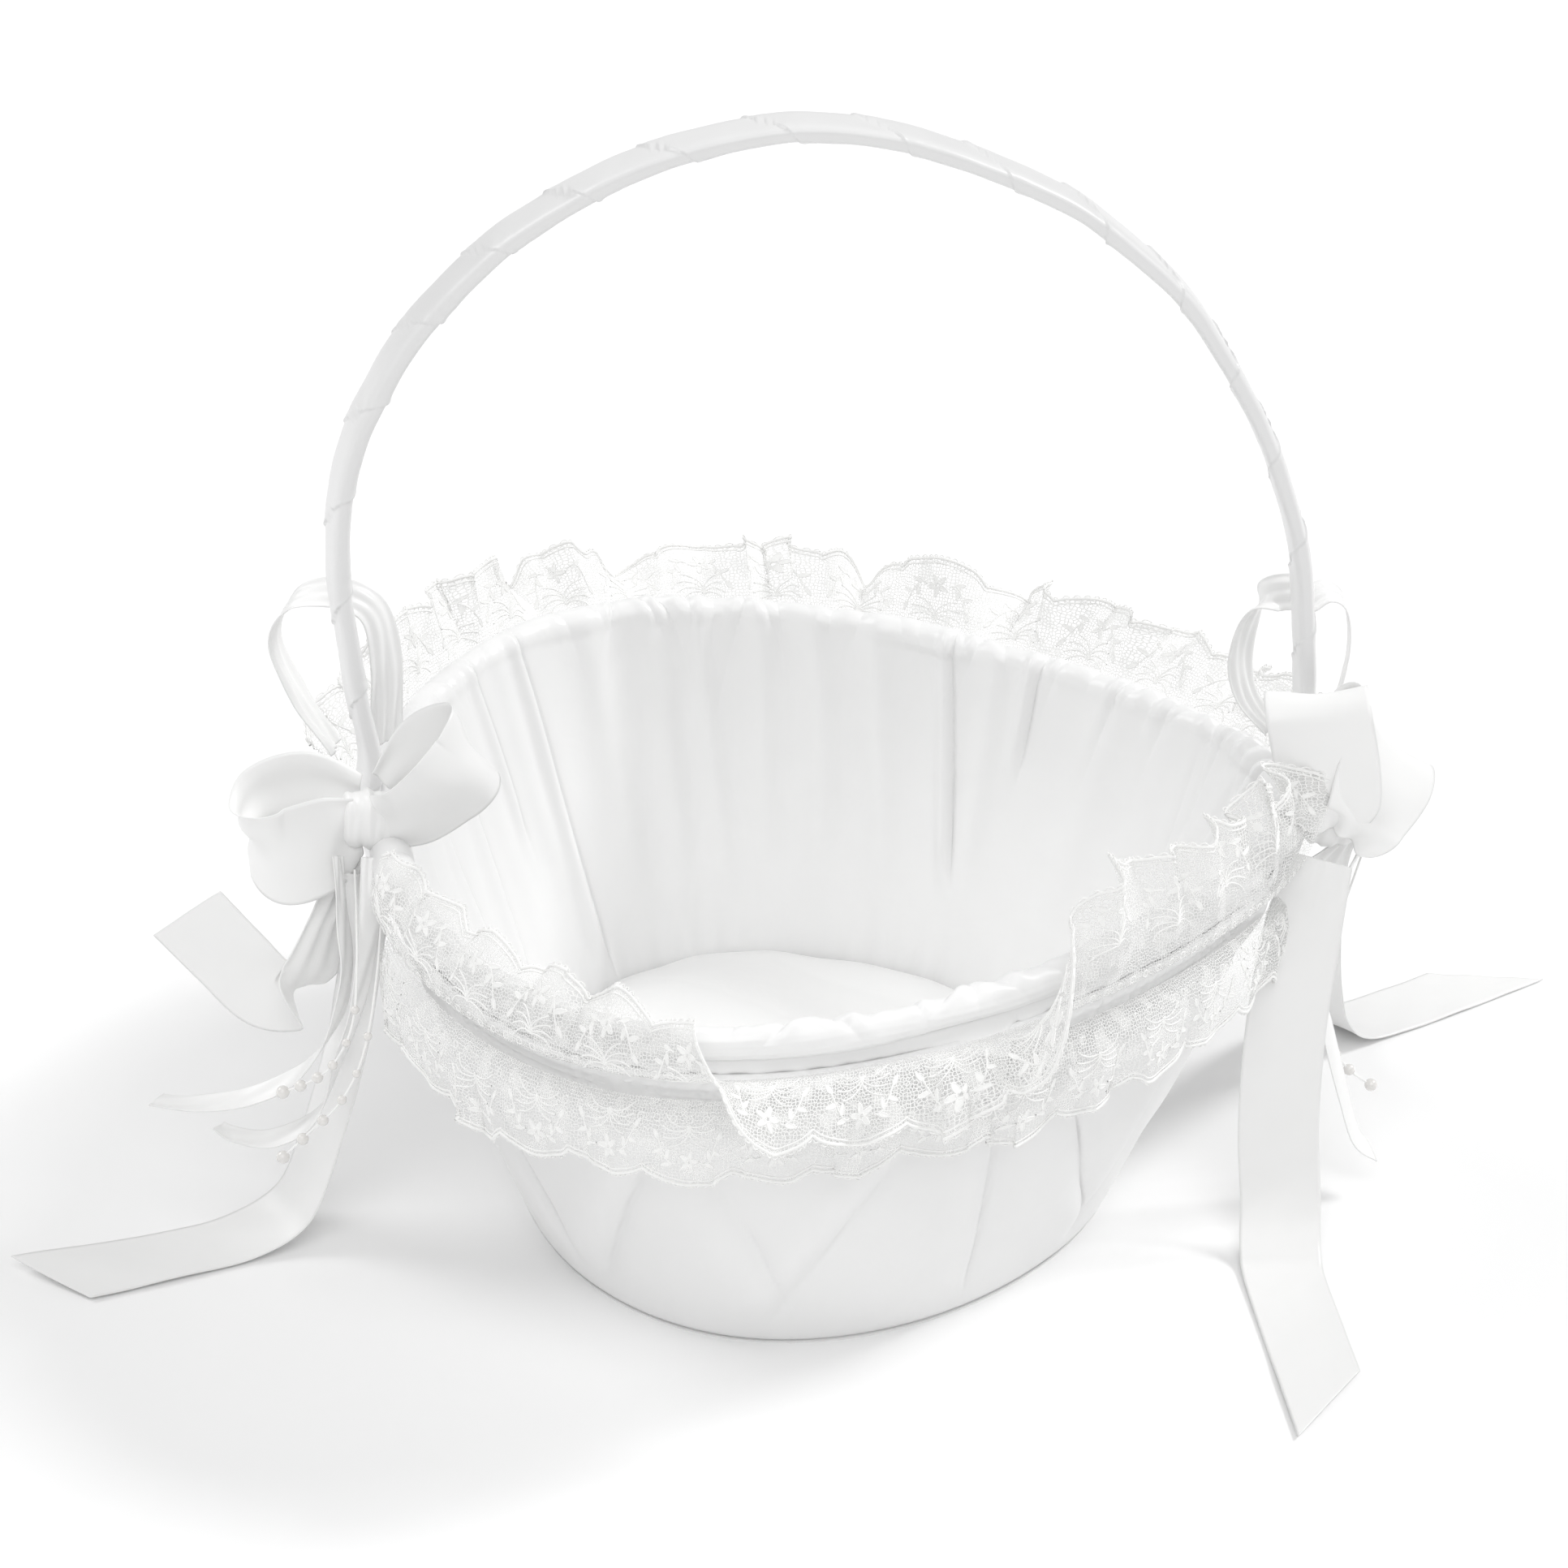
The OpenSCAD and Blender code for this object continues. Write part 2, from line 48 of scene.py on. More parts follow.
def add_camera():
    """A camera DISTANCE metres from AIM, turned by ROLL about its own axis."""
    data = bpy.data.cameras.new("camera")
    data.lens = LENS
    data.sensor_width = SENSOR
    data.clip_start = 0.05
    data.clip_end = 50
    cam = bpy.data.objects.new("camera", data)
    bpy.context.scene.collection.objects.link(cam)
    back = Vector((math.sin(AZIMUTH) * math.cos(ELEVATION), -math.cos(AZIMUTH) * math.cos(ELEVATION),
                   math.sin(ELEVATION)))
    right = (-back).cross(Vector((0, 0, 1))).normalized()
    up = right.cross(-back)
    rolled_right = math.cos(ROLL) * right + math.sin(ROLL) * up
    rolled_up = -math.sin(ROLL) * right + math.cos(ROLL) * up
    rotation = Matrix((rolled_right, rolled_up, back)).transposed().to_4x4()
    cam.matrix_world = Matrix.Translation(AIM + back * DISTANCE) @ rotation
    bpy.context.scene.camera = cam
    bpy.context.scene.view_settings.view_transform = "Standard"


add_camera()

# ---- noise and curves


def rnd(seed):
    return np.random.RandomState(seed)


def even_out(total, terms):
    """Brings a sum of random sines to between about -1 and 1."""
    return total / (0.75 * math.sqrt(terms) * 1.4)


def ripple(x, seed, terms=5, low=1.0, high=4.0):
    """Smooth noise along x; its waves are low to high cycles a unit."""
    r = rnd(seed)
    out = 0 * x
    for _ in range(terms):
        out = out + r.uniform(0.5, 1) * np.sin(2 * PI * (r.uniform(low, high) * x + r.uniform()))
    return even_out(out, terms)


def ring_ripple(t, seed, terms=6, low=3, high=9):
    """The same round a ring: whole numbers of waves, so that it closes."""
    r = rnd(seed)
    out = 0 * t
    for _ in range(terms):
        out = out + r.uniform(0.5, 1) * np.sin(r.randint(low, high + 1) * t + r.uniform(0, 2 * PI))
    return even_out(out, terms)


def smoothstep(a, b, x):
    s = np.clip((x - a) / (b - a), 0, 1)
    return s * s * (3 - 2 * s)


def bell(x, width):
    """A rounded hill at x = 0."""
    return np.exp(-(x / width) ** 2)


def crease(x, width):
    """A sharp ridge at x = 0 with soft sides; taken away, it leaves a crease."""
    return np.exp(-np.abs(x) / width)


def rounded(x, power):
    """x drawn towards -1 and 1, which squares off a circle."""
    return np.sign(x) * np.abs(x) ** power


def full_turn(count, start=0.0):
    return np.linspace(start, start + 2 * PI, count, endpoint=False)


def catmull(points, steps):
    """A smooth curve through the points, with so many steps from each to the next."""
    p = np.array(points, float)
    last = len(p) - 1
    out = []
    for i in range(last):
        a, b, c, d = p[max(i - 1, 0)], p[i], p[i + 1], p[min(i + 2, last)]
        for s in np.arange(steps) / steps:
            out.append(0.5 * (2 * b + (c - a) * s + (2 * a - 5 * b + 4 * c - d) * s * s
                              + (3 * b - a - 3 * c + d) * s ** 3))
    out.append(p[-1])
    return np.array(out)


def curve_through(points, steps=24):
    """A smooth curve through the points, and the distance run at each of its own points."""
    curve = catmull(points, steps)
    return curve, np.r_[0, np.cumsum(np.linalg.norm(np.diff(curve[:, :3], axis=0), axis=1))]


def by_length(curve, run, count):
    """Points at even spacing along a curve."""
    s = np.linspace(0, run[-1], count)
    return np.stack([np.interp(s, run, column) for column in curve.T], 1)


def unit(v):
    return v / np.maximum(np.linalg.norm(v, axis=-1, keepdims=True), 1e-12)


# ---- materials
# sockets of a Mix node that mixes colours
FACTOR, COLOR_A, COLOR_B, MIXED = 0, 6, 7, 2


def new_mat(name, color, rough, spec=0.5, sheen=0.0, coat=0.0):
    m = bpy.data.materials.new(name)
    m.use_nodes = True
    nt = m.node_tree
    b = nt.nodes["Principled BSDF"]
    b.inputs["Base Color"].default_value = (*color, 1)
    b.inputs["Roughness"].default_value = rough
    b.inputs["Specular IOR Level"].default_value = spec
    b.inputs["Sheen Weight"].default_value = sheen
    b.inputs["Sheen Roughness"].default_value = 0.4
    b.inputs["Coat Weight"].default_value = coat
    return m, nt, b


def node(nt, kind, **values):
    n = nt.nodes.new(kind)
    for k, v in values.items():
        if k in n.inputs:
            n.inputs[k].default_value = v
        else:
            setattr(n, k, v)
    return n


def coordinates(nt, kind="Object"):
    return node(nt, "ShaderNodeTexCoord").outputs[kind]


def noise(nt, source, **values):
    n = node(nt, "ShaderNodeTexNoise", **values)
    nt.links.new(source, n.inputs["Vector"])
    return n.outputs["Fac"]


def ramp(nt, value, lo, hi, a, b):
    """Maps a socket's values from lo..hi to a..b."""
    n = node(nt, "ShaderNodeMapRange")
    n.inputs["From Min"].default_value = lo
    n.inputs["From Max"].default_value = hi
    n.inputs["To Min"].default_value = a
    n.inputs["To Max"].default_value = b
    nt.links.new(value, n.inputs["Value"])
    return n.outputs[0]


def tint(nt, b, factor, low, high):
    """The base colour runs from low to high with the factor socket."""
    mix = node(nt, "ShaderNodeMix", data_type="RGBA")
    mix.inputs[COLOR_A].default_value = (*low, 1)
    mix.inputs[COLOR_B].default_value = (*high, 1)
    nt.links.new(factor, mix.inputs[FACTOR])
    nt.links.new(mix.outputs[MIXED], b.inputs["Base Color"])


def relief(nt, b, height, strength, distance, under=None):
    """Bump from a height socket, on top of another bump where one is given."""
    bump = node(nt, "ShaderNodeBump", Strength=strength, Distance=distance)
    nt.links.new(height, bump.inputs["Height"])
    if under:
        nt.links.new(under, bump.inputs["Normal"])
    nt.links.new(bump.outputs[0], b.inputs["Normal"])
    return bump.outputs[0]


def satin(name, color=(0.87, 0.87, 0.868), rough=0.32, uv=False, weave=0.06, crease_depth=0.25):
    """Satin: a fine close weave and small soft creases, which also vary its gloss a little. Its tone varies
    at random with the same noise that makes the creases, so it is painted shade in their hollows and painted
    highlight on their ridges.
    """
    m, nt, b = new_mat(name, color, rough, 0.45, 0.25)
    source = coordinates(nt, "UV" if uv else "Object")
    # UVs are in millimetres and object coordinates in metres
    weave_scale, crease_scale = (2.6, 0.09) if uv else (2200.0, 85.0)
    fine = noise(nt, source, Scale=weave_scale, Detail=1.0)
    soft = noise(nt, source, Scale=crease_scale, Detail=3.0, Roughness=0.5, Distortion=0.4)
    # the colour follows the creases: a little darker in their hollows, painted shade, and a little lighter on
    # their ridges, painted highlight
    tint(nt, b, soft, [c * 0.985 for c in color], [c * 1.012 for c in color])
    nt.links.new(ramp(nt, soft, 0.3, 0.7, rough - 0.02, rough + 0.03), b.inputs["Roughness"])
    threads = relief(nt, b, fine, weave, 0.0001)
    relief(nt, b, soft, crease_depth, 0.0012, under=threads)
    return m


def plain(name, color, rough, scale, depth, dark=0.85, metal=0.0):
    """A grained surface for the small hidden pieces: wire, cane and board."""
    m, nt, b = new_mat(name, color, rough)
    b.inputs["Metallic"].default_value = metal
    stretch = node(nt, "ShaderNodeMapping")
    stretch.inputs["Scale"].default_value = scale
    nt.links.new(coordinates(nt), stretch.inputs["Vector"])
    grain = noise(nt, stretch.outputs[0], Scale=1.0, Detail=5.0, Roughness=0.65)
    tint(nt, b, grain, [c * dark for c in color], color)
    relief(nt, b, grain, 0.4, depth)
    return m


def net_lace(name):
    """Fine net: thin threads with open cells between them. UV is in millimetres."""
    m, nt, b = new_mat(name, (0.92, 0.92, 0.91), 0.6, 0.3, 0.2)
    source = coordinates(nt, "UV")
    cells = node(nt, "ShaderNodeTexVoronoi", voronoi_dimensions="2D", feature="DISTANCE_TO_EDGE", Scale=1.15,
                 Randomness=0.7)
    nt.links.new(source, cells.inputs["Vector"])
    thread = ramp(nt, cells.outputs["Distance"], 0.09, 0.17, 1.0, 0.0)
    # worked patches, where the ground is closed up
    patch = ramp(nt, noise(nt, source, noise_dimensions="2D", Scale=0.16, Detail=1.5), 0.55, 0.60, 0.0, 0.5)
    most = node(nt, "ShaderNodeMath", operation="MAXIMUM")
    nt.links.new(thread, most.inputs[0])
    nt.links.new(patch, most.inputs[1])
    nt.links.new(most.outputs[0], b.inputs["Alpha"])
    relief(nt, b, thread, 0.5, 0.0003)
    return m


def cord_thread(name):
    """Raised lace thread and pearl thread: twisted cotton."""
    m, nt, b = new_mat(name, (0.93, 0.93, 0.92), 0.55, 0.35, 0.3)
    fibres = noise(nt, coordinates(nt), Scale=3000.0, Detail=2.0)
    tint(nt, b, fibres, (0.89, 0.89, 0.88), (0.97, 0.97, 0.96))
    relief(nt, b, fibres, 0.5, 0.0001)
    return m


def pearl_mat(name):
    m, nt, b = new_mat(name, (0.86, 0.84, 0.81), 0.22, 0.6, 0.1, 0.7)
    b.inputs["Coat Roughness"].default_value = 0.08
    b.inputs["Subsurface Weight"].default_value = 0.15
    b.inputs["Subsurface Radius"].default_value = (0.001, 0.001, 0.001)
    clouds = noise(nt, coordinates(nt), Scale=420.0, Detail=2.0)
    tint(nt, b, clouds, (0.74, 0.72, 0.70), (0.85, 0.84, 0.82))
    return m


COVER = satin("satin_cover_mat", rough=0.38, crease_depth=0.3)
# The lining and the pad are lighter copies of the same satin: painted light that makes up for the shade
# inside the basket.
LINING = satin("satin_lining_mat", (0.89, 0.89, 0.888), rough=0.31, crease_depth=0.2)
PAD = satin("satin_pad_mat", (0.95, 0.95, 0.945), rough=0.36, crease_depth=0.3)
# The handle's wrap is a darker copy of the same satin: painted shade.
WRAP = satin("satin_wrap_mat", (0.79, 0.79, 0.79), rough=0.33, crease_depth=0.15)
RIBBON = satin("satin_ribbon_mat", (0.915, 0.915, 0.91), uv=True, weave=0.05, crease_depth=0.1)
# The ribbon that lies on the floor is a darker copy of the bows' ribbon satin: painted shade.
TAIL = satin("satin_tail_mat", (0.87, 0.87, 0.865), uv=True, weave=0.05, crease_depth=0.1)
NET = net_lace("lace_net_mat")
THREAD = cord_thread("thread_mat")
PEARL = pearl_mat("pearl_mat")
WIRE = plain("wire_mat", (0.68, 0.69, 0.71), 0.3, (900, 900, 900), 0.00005, metal=1.0)
CANE = plain("cane_mat", (0.80, 0.72, 0.58), 0.55, (300, 300, 30), 0.0003)
BOARD = plain("board_mat", (0.80, 0.78, 0.74), 0.75, (400, 400, 60), 0.0003)

# ---- mesh building
MM = 0.001


def shade_smooth(me):
    me.polygons.foreach_set("use_smooth", np.ones(len(me.polygons), dtype=bool))


def make_mesh(name, verts, faces, mat, replaces=(), uvs=None):
    """verts in millimetres; uvs one pair a vertex."""
    me = bpy.data.meshes.new(name)
    v = np.asarray(verts, float).reshape(-1, 3) * MM
    me.from_pydata(v.tolist(), [], [tuple(int(i) for i in f) for f in faces])
    if uvs is not None:
        layer = me.uv_layers.new(name="UVMap")
        idx = np.empty(len(me.loops), dtype=np.int32)
        me.loops.foreach_get("vertex_index", idx)
        layer.data.foreach_set("uv", uvs[idx].astype(np.float32).ravel())
    me.update()
    shade_smooth(me)
    me.materials.append(mat)
    o = bpy.data.objects.new(name, me)
    bpy.context.scene.collection.objects.link(o)
    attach(o, "root")
    if replaces:
        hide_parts(*replaces)
    return o


def grid_faces(n, m, close_n=False, close_m=False, flip=False):
    """Quads over an n by m grid of vertices, closed round either way or open."""
    i = np.arange(n if close_n else n - 1)
    j = np.arange(m if close_m else m - 1)
    a, b = np.meshgrid(i, j, indexing="ij")
    a2, b2 = (a + 1) % n, (b + 1) % m
    q = np.stack([a * m + b, a2 * m + b, a2 * m + b2, a * m + b2], -1).reshape(-1, 4)
    return q[:, ::-1] if flip else q


def shell(name, outer, inner, mat, replaces, close=True, uv=None):
    """A closed skin between two grids of the same size, open or closed the first way round."""
    n, m = outer.shape[:2]
    k = n * m
    faces = [grid_faces(n, m, close), grid_faces(n, m, close, flip=True) + k]
    i = np.arange(n if close else n - 1)
    i2 = (i + 1) % n
    for j, flip in ((0, False), (m - 1, True)):
        q = np.stack([i * m + j, k + i * m + j, k + i2 * m + j, i2 * m + j], -1)
        faces.append(q[:, ::-1] if flip else q)
    if not close:
        j = np.arange(m - 1)
        for i0, flip in ((0, True), (n - 1, False)):
            q = np.stack([i0 * m + j, k + i0 * m + j, k + i0 * m + j + 1, i0 * m + j + 1], -1)
            faces.append(q[:, ::-1] if flip else q)
    verts = np.concatenate([outer.reshape(-1, 3), inner.reshape(-1, 3)])
    uvs = None if uv is None else np.concatenate([uv.reshape(-1, 2)] * 2)
    return make_mesh(name, verts, np.concatenate(faces), mat, replaces, uvs)


# ---- the basket's wall, as in the CAD
RIM_HEIGHT = 97.0
HOOP_OFF = 0.5


def wall(t, z, off):
    """Points at angle t in radians and height z, off millimetres outside the wall's middle surface.

    The wall is an egg in plan, narrower towards +X. It grows from the base (s = 0) to the rim (s = 1)."""
    s = z / RIM_HEIGHT
    narrowing = 0.15 + 0.2 * s
    x = (74 + 35.5 * s) * np.cos(t)
    y = (84 + 21 * s) * np.sin(t) * (1 - narrowing * np.cos(t))
    g = 1 + off / np.hypot(x, y)
    return np.stack([4 * s + x * g, y * g, z + 0 * t], -1)


def from_rim(t, off, z):
    """The same with the rim's outline at every height."""
    q = wall(t, RIM_HEIGHT + 0 * t, off)
    return np.stack([q[..., 0], q[..., 1], z + 0 * q[..., 0]], -1)


def ang(t, t0):
    """Angle from t0 to t, in degrees, between -180 and 180."""
    return (np.degrees(t) - t0 + 180) % 360 - 180


# ---- outer cover
# Soft diagonal folds from the hem up under the lace: angle, lean in degrees a millimetre, height, width.
FOLDS = (
    (-130, 0.28, 1.5, 5), (-112, -0.25, 1.1, 6), (-96, 0.35, 1.3, 5), (-73, -0.05, 2.3, 2.6),
    (-58, -0.3, 1.4, 5), (-40, 0.3, 1.6, 5), (-18, -0.2, 1.4, 5), (10, 0.3, 1.2, 6), (42, -0.3, 1.5, 5),
    (70, 0.2, 1.3, 5), (98, -0.35, 1.5, 5), (124, 0.3, 1.3, 5), (150, -0.2, 1.5, 6), (178, 0.2, 1.3, 5),
    (-152, -0.3, 1.5, 5),
)
FOLD_SCALE = 1.35


def cover_push(t, z):
    """How far the satin stands off the wall, in millimetres."""
    d = 0.6 * ring_ripple(t + 0.006 * z, 3, 6, 4, 11)
    d = d + 1.3 * np.sin(PI * np.clip(z / 60, 0, 1)) ** 0.8
    for t0, lean, high, wide in FOLDS:
        a = ang(t, t0 + lean * (z - 40))
        fold = bell(a, wide) - 1.25 * crease(a - wide * 0.9, wide * 0.3)
        d = d + FOLD_SCALE * high * fold * smoothstep(2, 25, z)
    # fine gathers under the band
    d = d + 0.5 * ring_ripple(t, 8, 6, 60, 110) * smoothstep(52, 84, z)
    return np.clip(d, -0.2, 4.2)


def outer_cover():
    # the first four rows are the hem, turned in under the base
    hem_z, hem_in = [0.55, 0.5, 0.9, 1.8], [-5.5, -1.6, -0.5, -0.1]
    T, Z = np.meshgrid(full_turn(720), np.r_[hem_z, np.linspace(3.2, 94.5, 60)], indexing="ij")
    hem = np.r_[hem_in, np.zeros(60)][None]
    push = cover_push(T, Z) * smoothstep(0, 4, Z) * smoothstep(94, 84, Z)
    outside = wall(T, Z, 2.9 + hem + push)
    inside = wall(T, np.maximum(Z, 1.0), 2.0 + hem)
    shell("satin_outer_cover", outside, inside, COVER, ["outer_cover"])


outer_cover()

# ---- lining, gathered over the rim
# Long creases in the lining: angle at the rim, drift in degrees down to the floor, depth, width in degrees,
# and the heights between which it shows.
PLEATS = (
    (136.5, -7, 3.6, 3.0, 12, 110), (146.5, -6, 2.6, 2.6, 52, 110), (156, -3, 2.0, 3.2, 20, 98),
    (166, -3, 1.5, 3.0, 35, 95), (175, 2, 1.3, 3.0, 30, 100), (69.5, -13, 2.4, 2.2, 36, 110),
    (57, -6, 2.2, 2.2, 72, 110), (26, -8, 0.35, 3.0, 30, 98), (8, -6, 0.4, 3.2, 20, 95),
    (-14, -3, 0.7, 2.8, 25, 100), (-31, -2, 1.2, 2.8, 20, 96), (-47, -2, 1.7, 2.6, 30, 102),
    (-63, 2, 1.2, 2.8, 20, 96), (-82, 2, 1.5, 2.8, 22, 99), (-99, 1, 1.1, 2.8, 18, 95),
    (-117, 2, 1.8, 2.8, 24, 102), (-134, -1, 1.2, 2.8, 20, 96), (-152, 1, 1.6, 2.8, 24, 101),
    (-167, 2, 1.3, 2.8, 20, 97),
)
# Soft upright waves between them: angle, drift, height, width in degrees.
WAVES = (
    (124, -4, 2.2, 3.4), (114, -3, 2.0, 2.8), (105.5, -2, 2.3, 2.5), (97, -3, 1.9, 2.4), (89, -5, 2.4, 2.7),
    (79.5, -7, 2.5, 2.7), (63, -7, 1.5, 2.4), (44, -4, 0.9, 3.6), (31, -4, 0.6, 4.2), (17, 1, 0.3, 4.2),
    (161, 4, 1.0, 2.8), (151, -4, 1.3, 2.4), (141, -6, 1.5, 2.2), (171, 3, 0.8, 2.8),
)
# Where the lining is drawn up over the rim: from and to which angle, and the usual spacing in degrees,
# depth and run of the tucks there.
GATHERS = (
    (-180, -112, 6.0, 0.55, 6), (-112, -58, 7.0, 0.9, 8), (-58, -18, 4.6, 0.95, 10), (-18, 12, 5.0, 1.5, 13),
    (12, 30, 4.2, 1.4, 12), (30, 52, 3.6, 1.0, 11), (52, 72, 5.5, 0.8, 10), (72, 93, 5.0, 0.7, 9),
    (93, 119, 4.0, 1.2, 14), (119, 150, 8.0, 0.5, 9), (150, 180, 4.4, 1.0, 11),
)
# A few deeper slanting tucks stand alone along the front: angle, depth, width, run and lean.
FRONT_TUCKS = [(-102, 1.6, 1.4, 9, 5.5), (-95, 1.8, 1.2, 9, -6.5), (-83, 2.0, 1.6, 10, 7.5),
               (-75, 1.5, 1.3, 8, -5.0)]


def gather_list():
    """Short tucks over the rim: angle, depth, width, how far down they run, and lean."""
    r = rnd(77)
    out = []
    for a0, a1, step, deep, run in GATHERS:
        a = a0 + step * r.uniform(0.2, 0.8)
        while a < a1:
            out.append((a, deep * r.uniform(0.4, 1.2), r.uniform(0.6, 1.7), run * r.uniform(0.5, 1.7),
                        r.uniform(-4.5, 4.5)))
            a += step * r.uniform(0.45, 1.5)
    return out


TUCKS = gather_list() + FRONT_TUCKS
# the height that the tucks run down from
TUCK_TOP = 106


def tuck_push(t, down):
    """Tucks at angle t and down millimetres below TUCK_TOP (negative is past it, towards the outside)."""
    d = 0 * t
    for a0, deep, wide, run, lean in TUCKS:
        a = ang(t, a0 + lean * down / 20)
        w = wide * (1 + np.maximum(down, 0) / 30)
        near = np.abs(a) < 9 * w
        if not near.any():
            continue
        fade = np.exp(-np.maximum(down, 0) / run) * np.exp(np.minimum(down, 0) / 6)
        banks = 0.75 * bell(a - 1.25 * w, 0.9 * w) + 0.3 * bell(a + 1.4 * w, w)
        d = d + np.where(near, deep * fade * (banks - crease(a, 0.42 * w)), 0)
    return d


def pleat_push(t, z):
    """The pleats and waves at angle t and height z."""
    down = 1 - z / 95
    d = 0.5 * ring_ripple(t + 0.003 * z, 21, 6, 5, 12) * smoothstep(110, 84, z)
    for i, (t0, drift, deep, wide, z0, z1) in enumerate(PLEATS):
        a = ang(t, t0 + drift * down + 0.5 * np.sin(z / 19 + i))
        w = wide * (0.75 + 0.5 * down)
        # a knife pleat: a rounded fold that stands in, with a sharp valley at one side
        fold = bell(a - w * 0.62, w * 0.62) - 0.85 * crease(a + w * 0.08, w * 0.17)
        d = d + deep * fold * smoothstep(z0 - 8, z0 + 14, z) * smoothstep(z1 + 4, z1 - 12, z)
    for i, (t0, drift, high, wide) in enumerate(WAVES):
        a = ang(t, t0 + drift * down + 0.6 * np.sin(z / 23 + 2 * i))
        d = d + high * bell(a, wide * (0.8 + 0.5 * down)) * smoothstep(116, 92, z) * smoothstep(5, 60, z)
    return d


# how far inside the wall's middle the lining's face lies, before any fold
LINING_IN = 1.12


def liner_push(t, z):
    """How far the folds of the lining stand in from there, in millimetres."""
    d = 1.2 + pleat_push(t, z) + tuck_push(t, TUCK_TOP - z)
    d = d + 0.35 * ring_ripple(t, 27, 6, 40, 80) * smoothstep(26, 8, z)
    return np.clip(d, 0.05, 6.0)


ROLL_R = 4.5


def rim_radius(t):
    """Radius of the padded rim in millimetres: thinner along the front."""
    return np.interp(np.degrees(t), [-180, -128, -112, -78, -62, 180], [ROLL_R, 4.3, 3.6, 3.6, 4.2, ROLL_R])


def satin_over_rim(t):
    """The lining from the floor up the wall, over the padded rim and under its outside."""
    T, Z = np.meshgrid(t, np.linspace(4.6, 58, 48), indexing="ij")
    up_wall = wall(T, Z, -LINING_IN - liner_push(T, Z))
    # from there it leans over to meet the roll
    T, Z = np.meshgrid(t, np.linspace(59, 96, 36), indexing="ij")
    stand_off = rim_radius(T) - HOOP_OFF + 0.8 * tuck_push(T, TUCK_TOP - Z) + 0.7 * pleat_push(T, Z)
    w = smoothstep(98, 56, Z)
    stand_off = stand_off * (1 - w) + (LINING_IN + liner_push(T, Z)) * w
    turn_in = wall(T, Z, -np.maximum(stand_off, LINING_IN + 0.05))
    # the angle round the roll runs from its inside over its crest to its outside
    T, A = np.meshgrid(t, np.radians(np.linspace(177, -66, 37)), indexing="ij")
    down = (A - PI / 2) * (ROLL_R + 0.6)
    rad = rim_radius(T) + 0.5 * ring_ripple(T + 0.03 * A, 44, 6, 5, 19)
    rad = rad + 0.7 * pleat_push(T, 96 + 0 * A) * smoothstep(0.9, 2.8, A)
    rad = rad + tuck_push(T, down) * (0.5 + 0.5 * smoothstep(0.6, 1.9, A))
    # soft folds along the roll, drawn by the gathering thread, on its outside
    along = np.sin(A * 6.5 + 0.9 * ring_ripple(T, 46, 4, 3, 9) + 0.5 * ring_ripple(T, 47, 4, 9, 17))
    rad = rad + 0.22 * (np.abs(along) ** 0.7 - 0.6) * smoothstep(0.95, 0.3, A)
    rad = np.clip(rad, 3.3, 6.6)
    over = from_rim(T, HOOP_OFF + rad * np.cos(A), RIM_HEIGHT + rad * np.sin(A))
    return np.concatenate([up_wall, turn_in, over], 1)


def inner_liner():
    face = satin_over_rim(full_turn(2400, -PI))
    along_rim = np.roll(face, -1, 0) - np.roll(face, 1, 0)
    under = face + unit(np.cross(along_rim, np.gradient(face, axis=1))) * 0.5
    shell("satin_inner_liner", face[::-1], under[::-1], LINING, ["inner_liner"])


inner_liner()


# ---- padding inside the rim
def rim_padding():
    n, m = 480, 20
    T, A = np.meshgrid(full_turn(n), full_turn(m), indexing="ij")
    radius = 2.6 + 0.12 * ring_ripple(T + A, 48, 5, 9, 25)
    tube = from_rim(T, HOOP_OFF + radius * np.cos(A), RIM_HEIGHT + radius * np.sin(A))
    roll = make_mesh("rim_roll_padding", tube, grid_faces(n, m, True, True), LINING,
                     ["rim_roll"])


rim_padding()


# ---- padded floor
def floor_pad():
    T, R = np.meshgrid(full_turn(360), np.linspace(0.002, 1, 60) ** 0.85, indexing="ij")
    edge = wall(T, 10 + 0 * T, -3.4 - 0.6 * ring_ripple(T, 31, 5, 9, 24))
    X, Y = edge[..., 0] * R, edge[..., 1] * R
    top = 4.6 + (7.5 + 2.2 * ring_ripple(T, 33, 6, 5, 13) * R ** 2) * (1 - R ** 9) ** 0.5
    puff = 1.1 * np.sin(X / 23 + 0.6) * np.cos(Y / 19 - 0.4) + 0.7 * np.sin(X / 9 + Y / 13)
    puff = puff + 0.5 * np.abs(np.sin((X * 0.5 + Y) / 11 + 0.8 * np.sin(X / 20))) ** 0.5
    top = top + puff * smoothstep(1.0, 0.75, R) + 0.5 * smoothstep(1, 0.6, R)
    pad = shell("padded_satin_floor", np.stack([X, Y, top], -1), np.stack([X, Y, 4.2 + 0 * X], -1), PAD,
                ["floor_pad"])


floor_pad()

# ---- gathering band
BAND_LOW, BAND_HIGH, STITCH_ROWS = 79.5, 89.5, 4


def shirred_band():
    """Fine gathers that puff out between rows of stitching."""
    T, Z = np.meshgrid(full_turn(2000), np.linspace(BAND_LOW, BAND_HIGH, 26), indexing="ij")
    fine = ring_ripple(T + 0.004 * np.sin(Z), 51, 9, 110, 210)
    rows = np.abs(np.sin(PI * STITCH_ROWS * (Z - BAND_LOW) / (BAND_HIGH - BAND_LOW))) ** 0.6
    outside = wall(T, Z, 3.5 + 0.75 * rows + 0.35 * fine * rows)
    inside = wall(T, Z, 3.05 + 0 * T)
    shell("gathering_band_shirred", outside, inside, LINING, ["gathering_band"])


shirred_band()

